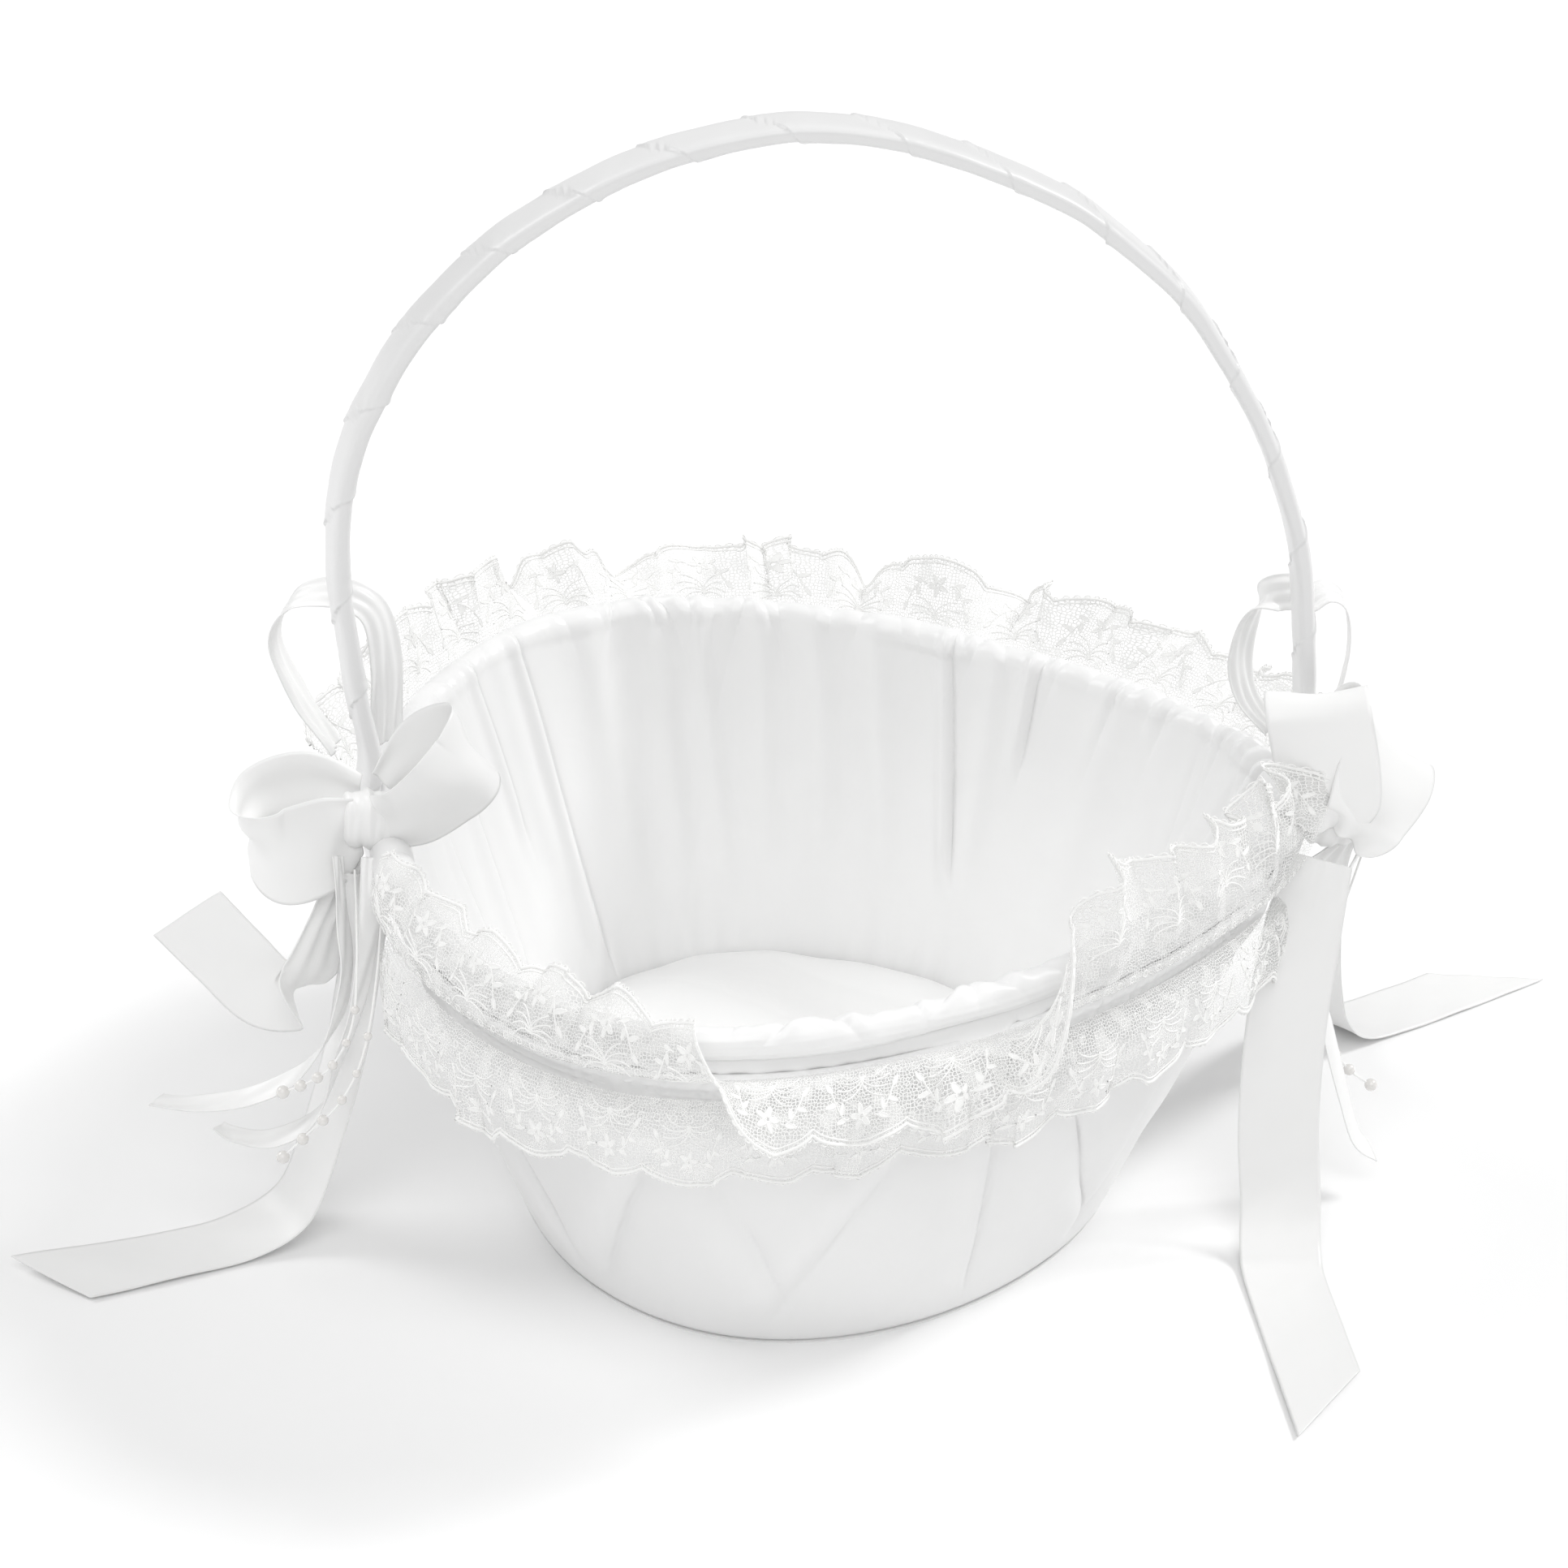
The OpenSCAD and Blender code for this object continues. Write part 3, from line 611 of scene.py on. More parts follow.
# ---- ribbon-wrapped handle
# x and z of the handle's middle, from foot to foot
HANDLE = (
    (-106.5, 72), (-110.5, 97), (-109.5, 112), (-112, 127), (-114, 144), (-115.5, 160), (-114.5, 178),
    (-111, 193), (-105, 206), (-98, 218), (-85, 233), (-71, 245), (-46, 259), (-19, 266.5), (1, 267),
    (22, 262.5), (50, 251), (65, 240.5), (78, 229), (86.5, 218), (100, 195.5), (109, 173.5), (113, 158),
    (115, 141), (116.5, 127), (117.5, 112), (118.5, 97), (113, 72),
)
HALF_WIDTH, HALF_THICK = 6.6, 1.85
# one turn of the ribbon takes up this much of the handle
PITCH = 24.3


def handle_line(count):
    """Points along the strip, the distance run at each, and the ways across the strip and out of it."""
    curve, run = curve_through([(x, 0, z) for x, z in HANDLE])
    pts = by_length(curve, run, count)
    # ease out the small kinks between the points
    for _ in range(60):
        pts[1:-1] = 0.5 * pts[1:-1] + 0.25 * (pts[2:] + pts[:-2])
    tan = unit(np.gradient(pts, axis=0))
    out = np.stack([-tan[:, 2], 0 * tan[:, 0], tan[:, 0]], -1)
    across = np.array([[0, 1.0, 0]])
    s = np.linspace(0, run[-1], count)
    # the strip leaves the left side of the rim turned a little to the front
    turned = np.radians(15) * smoothstep(300, 60, s)[:, None]
    return (pts, s, np.cos(turned) * across + np.sin(turned) * out,
            np.cos(turned) * out - np.sin(turned) * across)


def handle_section(count):
    """The strip's section, a flat bar with rounded edges, in shares of its half width and half thickness,
    and the share of the way round at each point."""
    a = full_turn(count)
    across, out = rounded(np.cos(a), 0.42), rounded(np.sin(a), 0.62)
    sides = np.hypot(np.diff(across * HALF_WIDTH, append=across[0] * HALF_WIDTH),
                     np.diff(out * HALF_THICK, append=out[0] * HALF_THICK))
    around = np.r_[0, np.cumsum(sides)[:-1]]
    girth = around[-1] + (around[-1] - around[-2])
    return across, out, around / girth


def handle_wrap():
    """Satin ribbon wound over the strip, from foot to foot."""
    n, m = 1500, 64
    pts, run, across_way, out_way = handle_line(n)
    across, out, share = handle_section(m)
    S, SHARE = np.meshgrid(run, share, indexing="ij")
    turn = S / PITCH - SHARE + 0.06 * np.sin(S / 31) + 0.008 * np.sin(S / 7 + 2 * PI * SHARE)
    frac = turn % 1.0
    # each turn lies on the one before: thick at its leading edge, thin where the next covers it
    step = 0.34 * (1 - frac) ** 1.3 + 0.10
    lip = 0.16 * bell(frac, 0.025)
    pucker = 0.10 * np.exp(-frac / 0.18) * np.sin(S * 1.3 + 6 * PI * SHARE + 2 * np.sin(S / 5))
    pucker = pucker + 0.06 * np.sin(S * 0.45 + 2 * PI * SHARE)
    push = step + lip + pucker * (0.5 + 0.8 * np.abs(across)[None] ** 6)
    W = across[None] * (HALF_WIDTH + push * 0.55)
    N = out[None] * (HALF_THICK + push)
    skin = pts[:, None, :] + W[..., None] * across_way[:, None, :] + N[..., None] * out_way[:, None, :]
    first_mid, last_mid, last_ring = n * m, n * m + 1, (n - 1) * m
    faces = [tuple(q) for q in grid_faces(n, m, False, True)]
    faces += [(first_mid, (j + 1) % m, j) for j in range(m)]
    faces += [(last_mid, last_ring + j, last_ring + (j + 1) % m) for j in range(m)]
    verts = np.concatenate([skin.reshape(-1, 3), pts[:1], pts[-1:]])
    make_mesh("handle_satin_wrap", verts, faces, WRAP, ["handle_ribbon_wrap", "handle_core"])


handle_wrap()

# ---- ribbons
RIBBON_THICK = 0.32
LOOP = dict(held="folded", folds=2)
BACK_LOOP = dict(held="folded", full=10, cup=0.15)
STREAMER = dict(full=5.5, cut=3, cup=0.3)
# Each ribbon: the node it stands for, its options, and its route as points (x, y, z, across x, y, z, width).
RIBBONS = {
    "left_bow_loop_outer_ribbon": ("left_bow_outer_loop", dict(LOOP, full=24, seed=2, cup=1.4), (
        (-112, -21, 104, -0.1, 0, 1, 15), (-118, -27, 103, -0.15, 0, 1, 24),
        (-129, -31, 101.5, -0.2, 0, 1, 25), (-137, -28, 103, -0.3, 0, 1, 19),
        (-139.5, -22, 105, -0.3, 0, 1, 15), (-135, -15, 108, -0.3, 0, 1, 19),
        (-124, -12.5, 110, -0.1, 0, 1, 20), (-112, -14, 108, 0, 0, 1, 13))),
    "left_bow_loop_inner_ribbon": ("left_bow_inner_loop", dict(LOOP, seed=3, cup=0.8), (
        (-107, -21, 105, -0.3, 0, 1, 14), (-99.5, -26.5, 109.5, -0.5, -0.3, 0.8, 20),
        (-92, -28, 116, -0.6, -0.3, 0.75, 22), (-86, -24, 121.5, -0.6, 0, 0.8, 21),
        (-87, -17, 124, -0.5, 0.3, 0.8, 20), (-95, -13, 119, -0.3, 0.2, 0.95, 20),
        (-105, -15, 111, 0, 0, 1, 12))),
    "left_bow_back_loop_ribbon": ("left_bow_back_loops", dict(BACK_LOOP, seed=4), (
        (-118, 13, 108, 0.3, 0.95, 0, 8), (-126, 13, 122, 0.3, 0.95, 0, 9),
        (-131.5, 13, 137, 0.3, 0.95, 0, 9), (-127, 13, 147, 0.3, 0.9, 0.2, 9),
        (-117, 13, 149, 0.3, 0.8, 0.4, 9), (-108, 13, 144, 0.6, 0.7, 0.3, 9),
        (-105.5, 13, 130, 0.8, 0.5, 0, 9), (-106, 13, 109, 0.9, 0.3, 0, 8))),
    "left_long_tail_ribbon": ("left_tail_long", dict(cut=14, seed=5, floor=True), (
        (-111, -26, 94, 1, 0, 0, 10), (-112, -28, 76, 0.6, -0.8, 0, 17), (-115, -30, 56, 0.45, -0.9, 0, 20),
        (-120, -32, 36, 0.42, -0.9, 0, 20), (-125, -33, 20, 0.42, -0.9, 0, 20),
        (-131, -35, 7, 0.4, -0.9, 0, 20), (-143, -39.5, 1.6, 0.44, -0.9, 0, 20),
        (-160, -46, 1, 0.4, -0.92, 0, 20), (-194, -58.5, 2.6, 0.36, -0.92, -0.14, 20))),
    "left_short_tail_ribbon": ("left_tail_short", dict(cut=1, seed=6, cup=0.6), (
        (-112, -20, 95, 1, 0, 0, 9), (-120, -22.5, 81, 0.7, 0.6, 0.2, 13),
        (-125.5, -24, 66, 0.8, 0.4, 0.4, 18), (-134, -24, 60.5, 0.64, 0, 0.77, 20),
        (-144, -23, 71, 0.64, 0, 0.77, 20), (-153.5, -23, 83, 0.64, 0, 0.77, 20))),
    "left_streamer_a_ribbon": ("left_streamer_a", dict(STREAMER, seed=7), (
        (-117, -26, 99, 0.3, 0.95, 0, 5), (-116, -34, 86, 0.4, 0.9, 0, 5.5),
        (-115.5, -38, 74, 0.5, 0.85, 0, 5.5), (-118.5, -39, 61, 0.5, 0.8, 0.2, 5.5),
        (-127, -39, 48, 0.3, 0.85, 0.4, 5.5), (-139, -39, 41.5, 0, 0.9, 0.4, 5.5),
        (-152.5, -39, 39.5, 0, 0.95, 0.2, 5.5), (-163, -39, 41.5, 0, 0.95, 0.1, 5.5))),
    "left_streamer_b_ribbon": ("left_streamer_b", dict(STREAMER, seed=8), (
        (-109, -27, 99, 0.9, 0.3, 0, 5), (-110, -37, 84, 0.8, 0.5, 0, 5.5),
        (-113, -42, 68, 0.6, 0.75, 0, 5.5), (-117.5, -43.5, 54, 0.5, 0.8, 0.2, 5.5),
        (-123.5, -44, 39, 0.3, 0.85, 0.4, 5.5), (-134, -44, 32.5, 0, 0.9, 0.4, 5.5),
        (-143.5, -44, 34, 0, 0.95, 0.2, 5.5), (-148, -44, 37.5, -0.1, 0.95, 0.1, 5.5))),
    "right_bow_loop_front_ribbon": ("right_bow_front_loop", dict(LOOP, full=25, seed=9, cup=0.9), (
        (121, -24, 99, 1, -0.2, 0.1, 14), (119.5, -28, 108, 0.95, -0.25, 0.15, 22),
        (117, -28.5, 119, 0.93, -0.3, 0.2, 25), (114.5, -25, 131, 0.93, -0.3, 0.2, 25),
        (115, -17, 134, 0.93, -0.3, 0.2, 24), (117, -12.8, 124, 0.95, -0.2, 0.1, 20),
        (120, -12.8, 108, 1, -0.1, 0, 12))),
    "right_bow_loop_outer_ribbon": ("right_bow_outer_loop", dict(LOOP, full=30, seed=10, cup=0.9), (
        (125, -13, 104, -0.5, 0, 0.85, 12), (129, -11.5, 113, -0.55, 0, 0.83, 26),
        (133, -14.5, 121.5, -0.55, 0, 0.83, 31), (134.5, -20, 121.5, -0.55, 0, 0.83, 31),
        (132, -25.5, 113.5, -0.55, 0, 0.83, 29), (127.5, -28, 103.5, -0.5, 0, 0.87, 21),
        (124, -25, 97, -0.3, 0, 0.95, 12))),
    "right_bow_back_loop_ribbon": ("right_bow_back_loops", dict(BACK_LOOP, seed=11), (
        (112, 14, 109, 0.5, 0.8, 0, 7), (106, 14, 117, 0.7, 0.7, 0, 8), (103.3, 14, 127, 0.75, 0.6, 0.2, 9),
        (104.5, 14, 137, 0.75, 0.55, 0.3, 9), (108.5, 14, 144, 0.5, 0.4, 0.75, 9),
        (114, 14, 145.5, 0, 0.5, 0.85, 9), (119, 14, 144, 0.1, 0.8, 0.5, 9),
        (123.5, 14, 145.5, 0, 0.95, 0.2, 9), (128, 14, 142, 0.1, 0.95, 0.1, 9),
        (130, 14, 130, 0.2, 0.95, 0, 9), (127.5, 14, 112, 0.3, 0.95, 0, 7))),
    "right_front_tail_ribbon": ("right_tail_front", dict(cut=24, seed=12, floor=True), (
        (119, -24.5, 92, 1, 0, 0, 15), (114, -31, 75, 0.97, -0.1, 0, 19), (110.5, -38, 52, 1, 0, 0, 20),
        (109.5, -44, 29, 1, 0, 0, 20), (110, -51, 12, 1, 0, 0, 20), (109, -60, 2.6, 1, 0, 0, 20),
        (108.5, -74, 0.8, 1, 0, 0, 20), (109.5, -130, 0.8, 1, 0, 0, 20))),
    "right_back_tail_ribbon": ("right_tail_back", dict(cut=-25, seed=13, floor=True), (
        (127.5, -8, 88, 0.9, 0.3, 0, 7), (124.5, -3, 78, 1, 0, 0, 13), (123, 2, 68, 1, 0, 0, 18),
        (125.5, 15, 48, 1, -0.1, 0, 20), (131, 30, 25, 0.95, -0.3, 0, 20), (138, 41, 9, 0.8, -0.6, 0, 20),
        (150, 48.5, 1.8, 0.5, -0.86, 0, 20), (172, 60.5, 0.8, 0.5, -0.86, 0, 20),
        (203, 79, 0.8, 0.5, -0.86, 0, 20))),
    "right_streamer_ribbon": ("right_streamer", dict(STREAMER, seed=14), (
        (128.5, -20, 91, 0.5, 0.85, 0, 5), (121, -25, 77, 0.5, 0.85, 0, 5.5),
        (117.5, -27, 64, 0.5, 0.85, 0, 5.5), (123, -28, 47.5, 0.6, 0.8, 0, 5.5),
        (128.5, -28, 29, 0.6, 0.8, 0, 5.5), (133.5, -28, 14.5, 0.5, 0.85, 0, 5.5),
        (139, -28, 9.5, 0.4, 0.9, 0, 5.5))),
}


def ribbon_face(route, full, cut, cup, folds, seed, floor):
    """A grid of points on the middle of a ribbon, and its UVs. Where the route is narrower than the ribbon,
    it is gathered into folds. cut slants the free end: plus shortens one edge, minus the other."""
    curve, run = curve_through(route)
    length = run[-1]
    count, m = max(int(length / 0.55), 40), 25
    base = by_length(curve, run, count)
    tan = unit(np.gradient(base[:, :3], axis=0))
    across = unit(base[:, 3:6] - tan * np.sum(base[:, 3:6] * tan, 1, keepdims=True))
    out = np.cross(tan, across)
    share, strips = np.linspace(0, 1, count), np.linspace(-1, 1, m)
    P = np.empty((count, m, 3))
    for j, x in enumerate(strips):
        cut_back = cut * (x + 1) / 2 if cut > 0 else -cut * (1 - x) / 2
        s = np.linspace(0, length - cut_back, count)
        mid, side, up = (np.stack([np.interp(s, share * length, c) for c in vectors.T], 1)
                         for vectors in (base[:, :3], across, out))
        half = np.interp(s, share * length, base[:, 6] / 2)
        tight = np.clip((full - 2 * half) / full, 0, 0.8)
        lift = 1.9 * tight * np.cos(folds * PI * x + 0.7 * seed) + cup * (1 - x * x)
        lift = lift + 0.28 * ripple(s / 40 + 0.35 * x, seed, 4, 0.6, 2.2)
        if floor:
            lift = lift * 0.5
        selvedge = 0.10 * bell(1 - abs(x), 0.05)
        P[:, j] = mid + side * (x * half)[:, None] + up * (lift + selvedge)[:, None]
    U, V = np.meshgrid(share * length, strips * full / 2, indexing="ij")
    return P, np.stack([U, V], -1)


def ribbon(name, replaced, route, full=20.0, cut=0.0, cup=0.35, folds=3, held="hung", seed=1, floor=False):
    """A satin ribbon; full is its own width, and floor is for one that comes down to the floor."""
    P, uv = ribbon_face(route, full, cut, cup, folds, seed, floor)
    half = unit(np.cross(unit(np.gradient(P, axis=0)), unit(np.gradient(P, axis=1)))) * RIBBON_THICK / 2
    if floor:
        P[..., 2] -= np.minimum(P[..., 2] - RIBBON_THICK / 2 - 0.35, 0)
    # a ribbon on the floor takes the darker satin copy, painted shade
    o = shell(name, P + half, P - half, TAIL if floor else RIBBON, [replaced], False, uv)


for name, (replaced, options, route) in RIBBONS.items():
    ribbon(name, replaced, route, **options)


# ---- knots
def knot(name, at, replaces, seed):
    """The band of ribbon pulled round the middle of a bow: folds run round it."""
    n, m = 96, 56
    A, U = np.meshgrid(full_turn(n), np.linspace(-1, 1, m), indexing="ij")
    waist = 1 - 0.22 * np.abs(U) ** 2.2
    ends = 0.45 + 0.55 * np.sqrt(np.clip(1 - np.abs(U) ** 6, 0, 1))
    ridge = 0.55 * np.sin(U * 9 + 0.7 * np.sin(A + seed) + seed) + 0.3 * np.sin(U * 17 + 1.2 * np.sin(2 * A))
    ry = (5.2 + 0.5 * ridge) * waist * ends
    rz = (7.0 + 0.6 * ridge) * waist * ends
    P = np.stack([at[0] + 7.0 * U, at[1] + ry * rounded(np.cos(A), 0.8),
                  at[2] + rz * rounded(np.sin(A), 0.8)], -1)
    verts = np.concatenate([P.reshape(-1, 3), P[:, 0].mean(0)[None], P[:, -1].mean(0)[None]])
    first_mid, last_mid = n * m, n * m + 1
    faces = [tuple(q) for q in grid_faces(n, m, True)]
    faces += [(first_mid, (j + 1) % n * m, j * m) for j in range(n)]
    faces += [(last_mid, j * m + m - 1, (j + 1) % n * m + m - 1) for j in range(n)]
    uv = np.concatenate([np.stack([A * 6, U * 6], -1).reshape(-1, 2), [[0, 0], [0, 0]]])
    make_mesh(name, verts, faces, RIBBON, replaces, uv)


knot("left_bow_knot_wrap", (-110, -19, 105), ["left_bow_knot"], 1.0)
knot("right_bow_knot_wrap", (122, -16, 99), ["right_bow_knot"], 2.4)

# ---- pearl strands
THREADS = {
    "left_pearl_thread_a": ((-113, -27.5, 96), (-112.5, -44, 82), (-114, -48, 66), (-119, -48, 55),
                            (-125, -47.5, 50), (-131.5, -47, 47)),
    "left_pearl_thread_b": ((-106, -27.5, 96), (-108, -46, 78), (-111.5, -51, 60), (-117, -51.5, 47.5),
                            (-124.5, -51.5, 39), (-132, -51, 31)),
    "right_pearl_thread": ((132, -15, 93), (127, -18, 76), (121.5, -19, 60), (121, -20, 48), (126, -20, 37.5),
                           (132, -20, 29.5), (138.5, -20, 24.5)),
}
THREAD_DIAMETER = 0.0006


def pearl_thread(name, route):
    line = catmull(route, 8) * MM
    cu = bpy.data.curves.new(name + "_strand", "CURVE")
    cu.dimensions = "3D"
    spline = cu.splines.new("POLY")
    spline.points.add(len(line) - 1)
    for point, place in zip(spline.points, line):
        point.co = (*place, 1)
    cu.bevel_depth = THREAD_DIAMETER / 2
    cu.bevel_resolution = 3
    cu.materials.append(THREAD)
    o = bpy.data.objects.new(name + "_strand", cu)
    bpy.context.scene.collection.objects.link(o)
    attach(o, "root")
    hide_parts(name)


for name, route in THREADS.items():
    pearl_thread(name, route)

# ---- lace
# The two stretches of each tier, in degrees round the rim, between the bows.
LACE_ARCS = ((10.5, 175.2), (-165, -20))
SCALLOP, SCALLOP_DEPTH = 25.0, 4.2
# length of lace to length of rim
FULLNESS = 1.28
# Lean of the upper tier at its root and at its edge, in degrees above level, round the rim.
LEAN = np.array((
    (-185, 60, 100), (-165, 70, 130), (-150, 74, 156), (-135, 75, 163), (-124, 75, 160), (-116, 73, 150),
    (-111.5, 62, 112), (-108, 40, 45), (-104.5, 10, -20), (-101, -10, -66), (-95, 0, -74), (-88, -18, -84),
    (-82, -4, -74), (-77, 8, -45), (-73.5, 36, 15), (-70.5, 68, 76), (-66, 80, 108), (-60, 82, 124),
    (-54, 80, 108), (-48, 80, 122), (-42, 82, 108), (-36, 80, 124), (-29, 80, 106), (-24, 80, 120),
    (-20, 76, 100), (-10, 60, 60), (12, 60, 45), (24, 66, 55), (37, 58, 14), (46, 66, 38), (54, 72, 52),
    (60, 78, 66), (65, 46, -4), (70, 72, 46), (76, 77, 60), (83, 46, 0), (88, 72, 48), (94, 60, 16),
    (98, 70, 40), (104, 58, 8), (109, 46, -8), (120, 70, 38), (126, 50, 4), (130, 70, 46), (136, 75, 62),
    (150, 76, 64), (160, 70, 50), (176, 62, 40),
))
# Width of each tier round the rim: angles and millimetres.
UPPER_WIDTH = (
    (-185, -165, -150, -130, -121, -113, -108, -103, -90, -76, -71, -66, -60, -54, -48, -42, -36, -29,
     -24, -20, 20, 60, 176),
    (20, 20, 22.5, 21.5, 19, 15, 15, 19, 18.5, 19, 24, 30, 34, 28, 33, 28, 33, 27, 31, 28, 24.5, 25, 25),
)
LOWER_WIDTH = (
    (-165, -139, -124, -110, -104, -94, -86, -74, -60, -32, 10, 60, 120, 176),
    (19, 22, 17, 20, 18, 20.5, 18.5, 24, 22, 19, 19, 20, 20, 19),
)
# The lower tier's fall: distances across it, and how far out and how far down it has come there.
HANG = ((0, 5, 12, 18, 24), (5, 6.2, 5.9, 4.6, 3.2), (15.0, 19.6, 26.4, 32.0, 37.5))
# Radians round the rim for a millimetre along it, on average.
RIM_TURN = 1 / 112


def angle_at(u, arc, length):
    """Degrees round the rim at u along the tape."""
    return arc[0] + (arc[1] - arc[0]) * u / length


def upper_surface(U, V, arc, length):
    """The upper tier at U along the tape and V across it, both in millimetres."""
    T = np.radians(angle_at(U, arc, length))
    deg = np.degrees(T)
    angles, root_lean, edge_lean = LEAN.T
    flow = ripple(U / 60, 61, 5, 1.2, 3.2)
    v = np.maximum(V, 0)
    e0 = np.radians(np.interp(deg, angles, root_lean) + 5 * flow)
    e1 = np.radians(np.interp(deg, angles, edge_lean) + 16 * flow)
    bend = (e1 - e0) / np.interp(deg, *UPPER_WIDTH)
    bend = np.where(np.abs(bend) < 1e-4, 1e-4, bend)
    # the ruffle: waves that grow to the edge and lean over themselves
    phase = U / 3.9 + 1.7 * ripple(U / 60, 65, 4, 0.7, 1.8)
    size = (v / 24) ** 1.15 * (0.75 + 0.5 * ripple(U / 60, 66, 3, 0.4, 1.2))
    wave = 3.0 * size * np.sin(phase) + 0.8 * (v / 24) * ripple(U / 60, 63, 5, 4, 7)
    end = e0 + bend * v
    root = np.clip(V + 5, 0, 5) / 5
    off = 3.6 + 3.6 * root + (np.sin(end) - np.sin(e0)) / bend - wave * np.sin(end)
    z = RIM_HEIGHT - 7.4 + 1.6 * root - (np.cos(end) - np.cos(e0)) / bend + wave * np.cos(end)
    slip = 1.5 * size * np.sin(2 * phase + 0.6)
    return from_rim(T + slip * RIM_TURN, off, z)


def lower_surface(U, V, arc, length):
    """The same for the lower tier, which hangs down outside the cover."""
    T = np.radians(angle_at(U, arc, length))
    v = np.maximum(V, 0)
    across, out, down = HANG
    phase = U / 3.7 + 1.6 * ripple(U / 60, 75, 4, 0.7, 1.8)
    size = (v / 20) ** 1.1 * (0.75 + 0.5 * ripple(U / 60, 76, 3, 0.4, 1.2))
    wave = 1.7 * size * np.sin(phase) + 0.6 * (v / 20) * ripple(U / 60, 72, 5, 4, 7)
    slip = 1.2 * size * np.sin(2 * phase + 0.5)
    root = np.clip(V + 3, 0, 3) / 3
    off = 2.8 + 2.2 * root + (np.interp(v, across, out) - out[0]) + wave + 1.7 * (v / 20)
    z = RIM_HEIGHT - 13.2 - 1.8 * root - (np.interp(v, across, down) - down[0]) + 0.25 * wave
    return from_rim(T + slip * RIM_TURN, off, z)


class Batch:
    """Bits of mesh that are joined into one piece."""

    def __init__(self):
        self.verts, self.faces, self.uvs, self.count = [], [], [], 0

    def add(self, verts, faces, uvs=None):
        self.verts.append(verts)
        self.faces.append(faces + self.count)
        if uvs is not None:
            self.uvs.append(uvs)
        self.count += len(verts)

    def build(self, name, mat, replaces=()):
        verts, faces = np.concatenate(self.verts), np.concatenate(self.faces)
        uvs = np.concatenate(self.uvs) if self.uvs else None
        return make_mesh(name, verts, faces, mat, replaces, uvs)


# the section of a lace cord
HEXAGON = ((1, 0), (0.5, 0.8), (-0.5, 0.8), (-1, 0), (-0.5, -0.8), (0.5, -0.8))


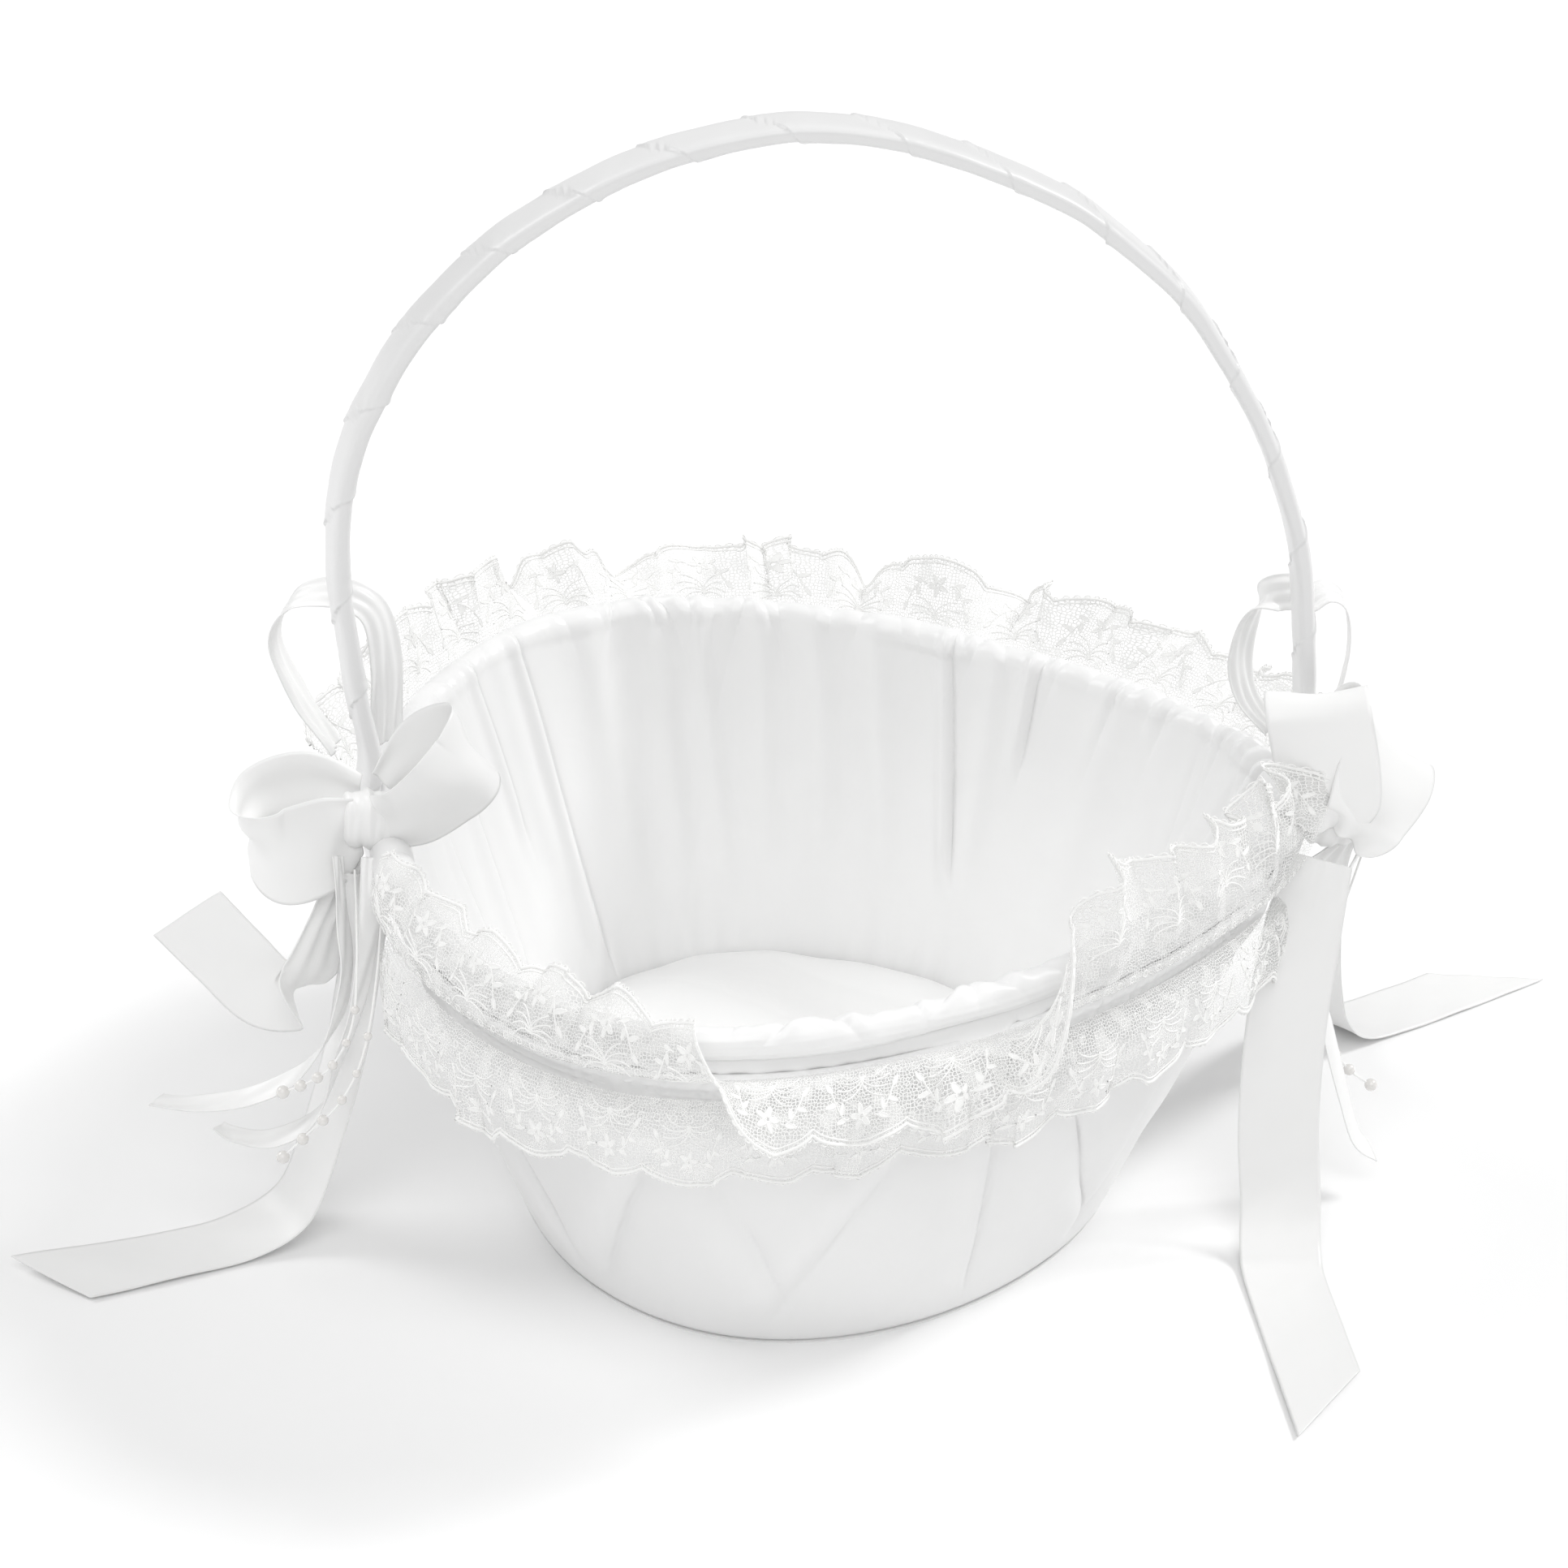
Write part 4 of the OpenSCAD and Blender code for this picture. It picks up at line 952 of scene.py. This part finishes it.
class LaceTier:
    """A tier of lace: its net, with raised cords and worked leaves. Places on it are u and v, in millimetres
    along the tape and across it from its root."""

    def __init__(self, surface, widths):
        self.surface, self.widths = surface, widths
        self.net, self.cords, self.leaves = Batch(), Batch(), Batch()

    def begin(self, arc):
        """Turns to the stretch between two angles, with its length in whole scallops."""
        angles = np.radians(np.linspace(*arc, 400))
        root = from_rim(angles, 6 + 0 * angles, 90 + 0 * angles)
        root_length = np.linalg.norm(np.diff(root, axis=0), axis=1).sum()
        self.arc = arc
        self.length = round(root_length * FULLNESS / SCALLOP) * SCALLOP

    def width_at(self, u):
        """The width at a scallop's peak, were there one at u."""
        return np.interp(angle_at(u, self.arc, self.length), *self.widths)

    def edge_at(self, u):
        peak = np.abs(np.sin(PI * u / SCALLOP)) ** 0.75
        return self.width_at(u) - SCALLOP_DEPTH * (1 - peak)

    def point(self, u, v):
        return self.surface(u, v, self.arc, self.length)

    def place(self, u, v):
        """Points of a line on the lace, and the lace's normals there."""
        near = 0.2
        u = np.clip(u, 0, self.length)
        p = self.point(u, v)
        along = self.point(np.clip(u + near, 0, self.length + 1), v) - p
        return p, unit(np.cross(along, self.point(u, v + near) - p))

    def weave(self, root):
        """The net, from v = root to the scalloped edge."""
        n, m = int(self.length / 0.75), 26
        u = np.linspace(0, self.length, n)
        V = root + (self.edge_at(u)[:, None] - root) * np.linspace(0, 1, m)[None]
        U = np.repeat(u[:, None], m, 1)
        self.net.add(self.point(U, V).reshape(-1, 3), grid_faces(n, m), np.stack([U, V], -1).reshape(-1, 2))

    def thread(self, u, v, radius, closed=False):
        p, normal = self.place(u, v)
        side = unit(np.cross(unit(np.gradient(p, axis=0)), normal))
        ring = np.stack([p + side * radius * c + normal * radius * s for c, s in HEXAGON], 1)
        self.cords.add(ring.reshape(-1, 3), grid_faces(len(p), len(HEXAGON), closed, True))

    def leaf(self, u, v, heading, length, width, radius=0.22):
        """A leaf or petal: a closed outline cord with close work inside."""
        a = full_turn(14)
        lx = length * (0.5 - 0.5 * np.cos(a))
        ly = width / 2 * np.sin(a) * (0.75 + 0.25 * np.cos(a))
        c, s = math.cos(heading), math.sin(heading)
        lu, lv = u + lx * c - ly * s, v + lx * s + ly * c
        self.thread(lu, lv, radius, True)
        lu, lv = np.append(lu, lu.mean()), np.append(lv, lv.mean())
        p, normal = self.place(lu, lv)
        fan = np.array([(len(a), j, (j + 1) % len(a)) for j in range(len(a))])
        for face in (1, -1):
            self.leaves.add(p + normal * 0.10 * face, fan[:, ::face], np.stack([lu, lv], 1))

    def edging(self):
        """Two cords that follow the scallops, and small picots outside them."""
        u = np.linspace(0, self.length, int(self.length / 0.6))
        for inset, radius in ((0.0, 0.42), (1.3, 0.22)):
            self.thread(u, self.edge_at(u) - inset, radius)
        a = np.linspace(0, PI, 6)
        for u in np.arange(0.8, self.length - 0.8, 1.7):
            self.thread(u + 0.62 * np.cos(a), self.edge_at(u) + 0.15 + 0.75 * np.sin(a), 0.17)

    def flower(self, u, v, turned):
        for petal in range(5):
            heading = turned + petal * PI / 2.5
            self.leaf(u + 0.5 * math.cos(heading), v + 0.5 * math.sin(heading), heading, 2.7, 1.5)
        a = full_turn(12)
        self.thread(u + 0.8 * np.cos(a), v + 0.8 * np.sin(a), 0.25, True)

    def spray(self, u, v, side):
        """A stem that curls from the flower to the dip on one side, with leaves along it."""
        s = np.linspace(0, 1, 14)
        su = u + side * (3.6 + 5.2 * s)
        sv = v + 1.2 * np.sin(PI * s * 1.2) - 5.5 * s ** 1.6
        self.thread(su, sv, 0.22)
        down_stem = math.atan2(-1.0, side)
        for share, lean in ((0.25, 1.0), (0.5, -0.9), (0.75, 1.0), (0.98, -0.2)):
            lu, lv = np.interp(share, s, su), np.interp(share, s, sv)
            self.leaf(lu, lv, down_stem + side * lean * 1.1, 2.7, 1.25, 0.18)

    def ribs(self, u, v, side):
        """A fan of ribs up from the root."""
        s = np.linspace(0, 1, 9)
        for j in range(4):
            heading = PI / 2 + side * (0.15 + 0.34 * j) + 0.7 * side * s
            self.thread(u + side * 0.6 + np.cos(heading) * 8.5 * s, v - 9.5 + np.sin(heading) * 8.5 * s, 0.2)

    def root_loops(self, u):
        """A row of small loops near the root, across one scallop."""
        a = full_turn(8)
        for j in range(5):
            middle = u - SCALLOP / 2 + (j + 0.5) * SCALLOP / 5
            self.thread(middle + np.cos(a), 1.6 + 0.9 * np.sin(a), 0.15, True)

    def work(self, seed):
        """One flower and its sprays to a scallop."""
        r = rnd(seed)
        for i in range(int(self.length / SCALLOP)):
            u = (i + 0.5) * SCALLOP
            v = self.width_at(u) - 7.2
            self.flower(u, v, r.uniform(0, 2 * PI))
            for side in (1, -1):
                self.spray(u, v, side)
                self.ribs(u, v, side)
            self.root_loops(u)


def lace(prefix, surface, widths, replaces, root, seed):
    tier = LaceTier(surface, widths)
    for arc in LACE_ARCS:
        tier.begin(arc)
        tier.weave(root)
        tier.edging()
        tier.work(seed)
    net = tier.net.build(prefix + "_net", NET, replaces)
    cords = tier.cords.build(prefix + "_corded_motifs", THREAD)
    leaves = tier.leaves.build(prefix + "_worked_leaves", THREAD)


lace("lace_upper", upper_surface, UPPER_WIDTH, ["lace_ruffle_upper"], -5, 5)
lace("lace_lower", lower_surface, LOWER_WIDTH, ["lace_ruffle_lower"], -3, 6)


# ---- carried-over CAD nodes
def carried_material(name):
    if "pearls" in name:
        return PEARL
    if name.endswith("_tie") or name == "handle_staples":
        return WIRE
    if name == "rim_hoop":
        return CANE
    if name in ("basket_core", "base_board"):
        return BOARD
    return COVER


for name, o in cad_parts.items():
    if o.hide_render:
        continue
    o.data.materials.clear()
    o.data.materials.append(carried_material(name))
    if "pearls" in name:
        shade_smooth(o.data)


# ---- floor and light
def studio_floor():
    me = bpy.data.meshes.new("studio_floor")
    me.from_pydata([(-4, -4, 0), (4, -4, 0), (4, 8, 0), (-4, 8, 0)], [], [(0, 1, 2, 3)])
    me.materials.append(new_mat("studio_floor_mat", (0.95, 0.95, 0.95), 0.75, 0.2)[0])
    floor = bpy.data.objects.new("studio_floor", me)
    bpy.context.scene.collection.objects.link(floor)


def white_surroundings(strength):
    world = bpy.data.worlds.new("studio")
    bpy.context.scene.world = world
    world.use_nodes = True
    background = world.node_tree.nodes["Background"]
    background.inputs["Color"].default_value = (1, 1, 1, 1)
    background.inputs["Strength"].default_value = strength


def sky_light(name, toward, strength, spread):
    """Even light from one side; spread is the angle in degrees that it seems to fill."""
    la = bpy.data.lights.new(name, "SUN")
    la.energy = strength
    la.angle = math.radians(spread)
    o = bpy.data.objects.new(name, la)
    bpy.context.scene.collection.objects.link(o)
    o.location = toward
    o.rotation_euler = Vector(toward).to_track_quat("Z", "Y").to_euler()


studio_floor()
white_surroundings(0.445)
sky_light("right_light", (1.0, 0.35, 1.0), 1.38, 16)
sky_light("left_light", (-1.0, 0.45, 1.0), 0.76, 28)
sky_light("front_light", (-0.1, -1.0, 1.3), 1.05, 50)
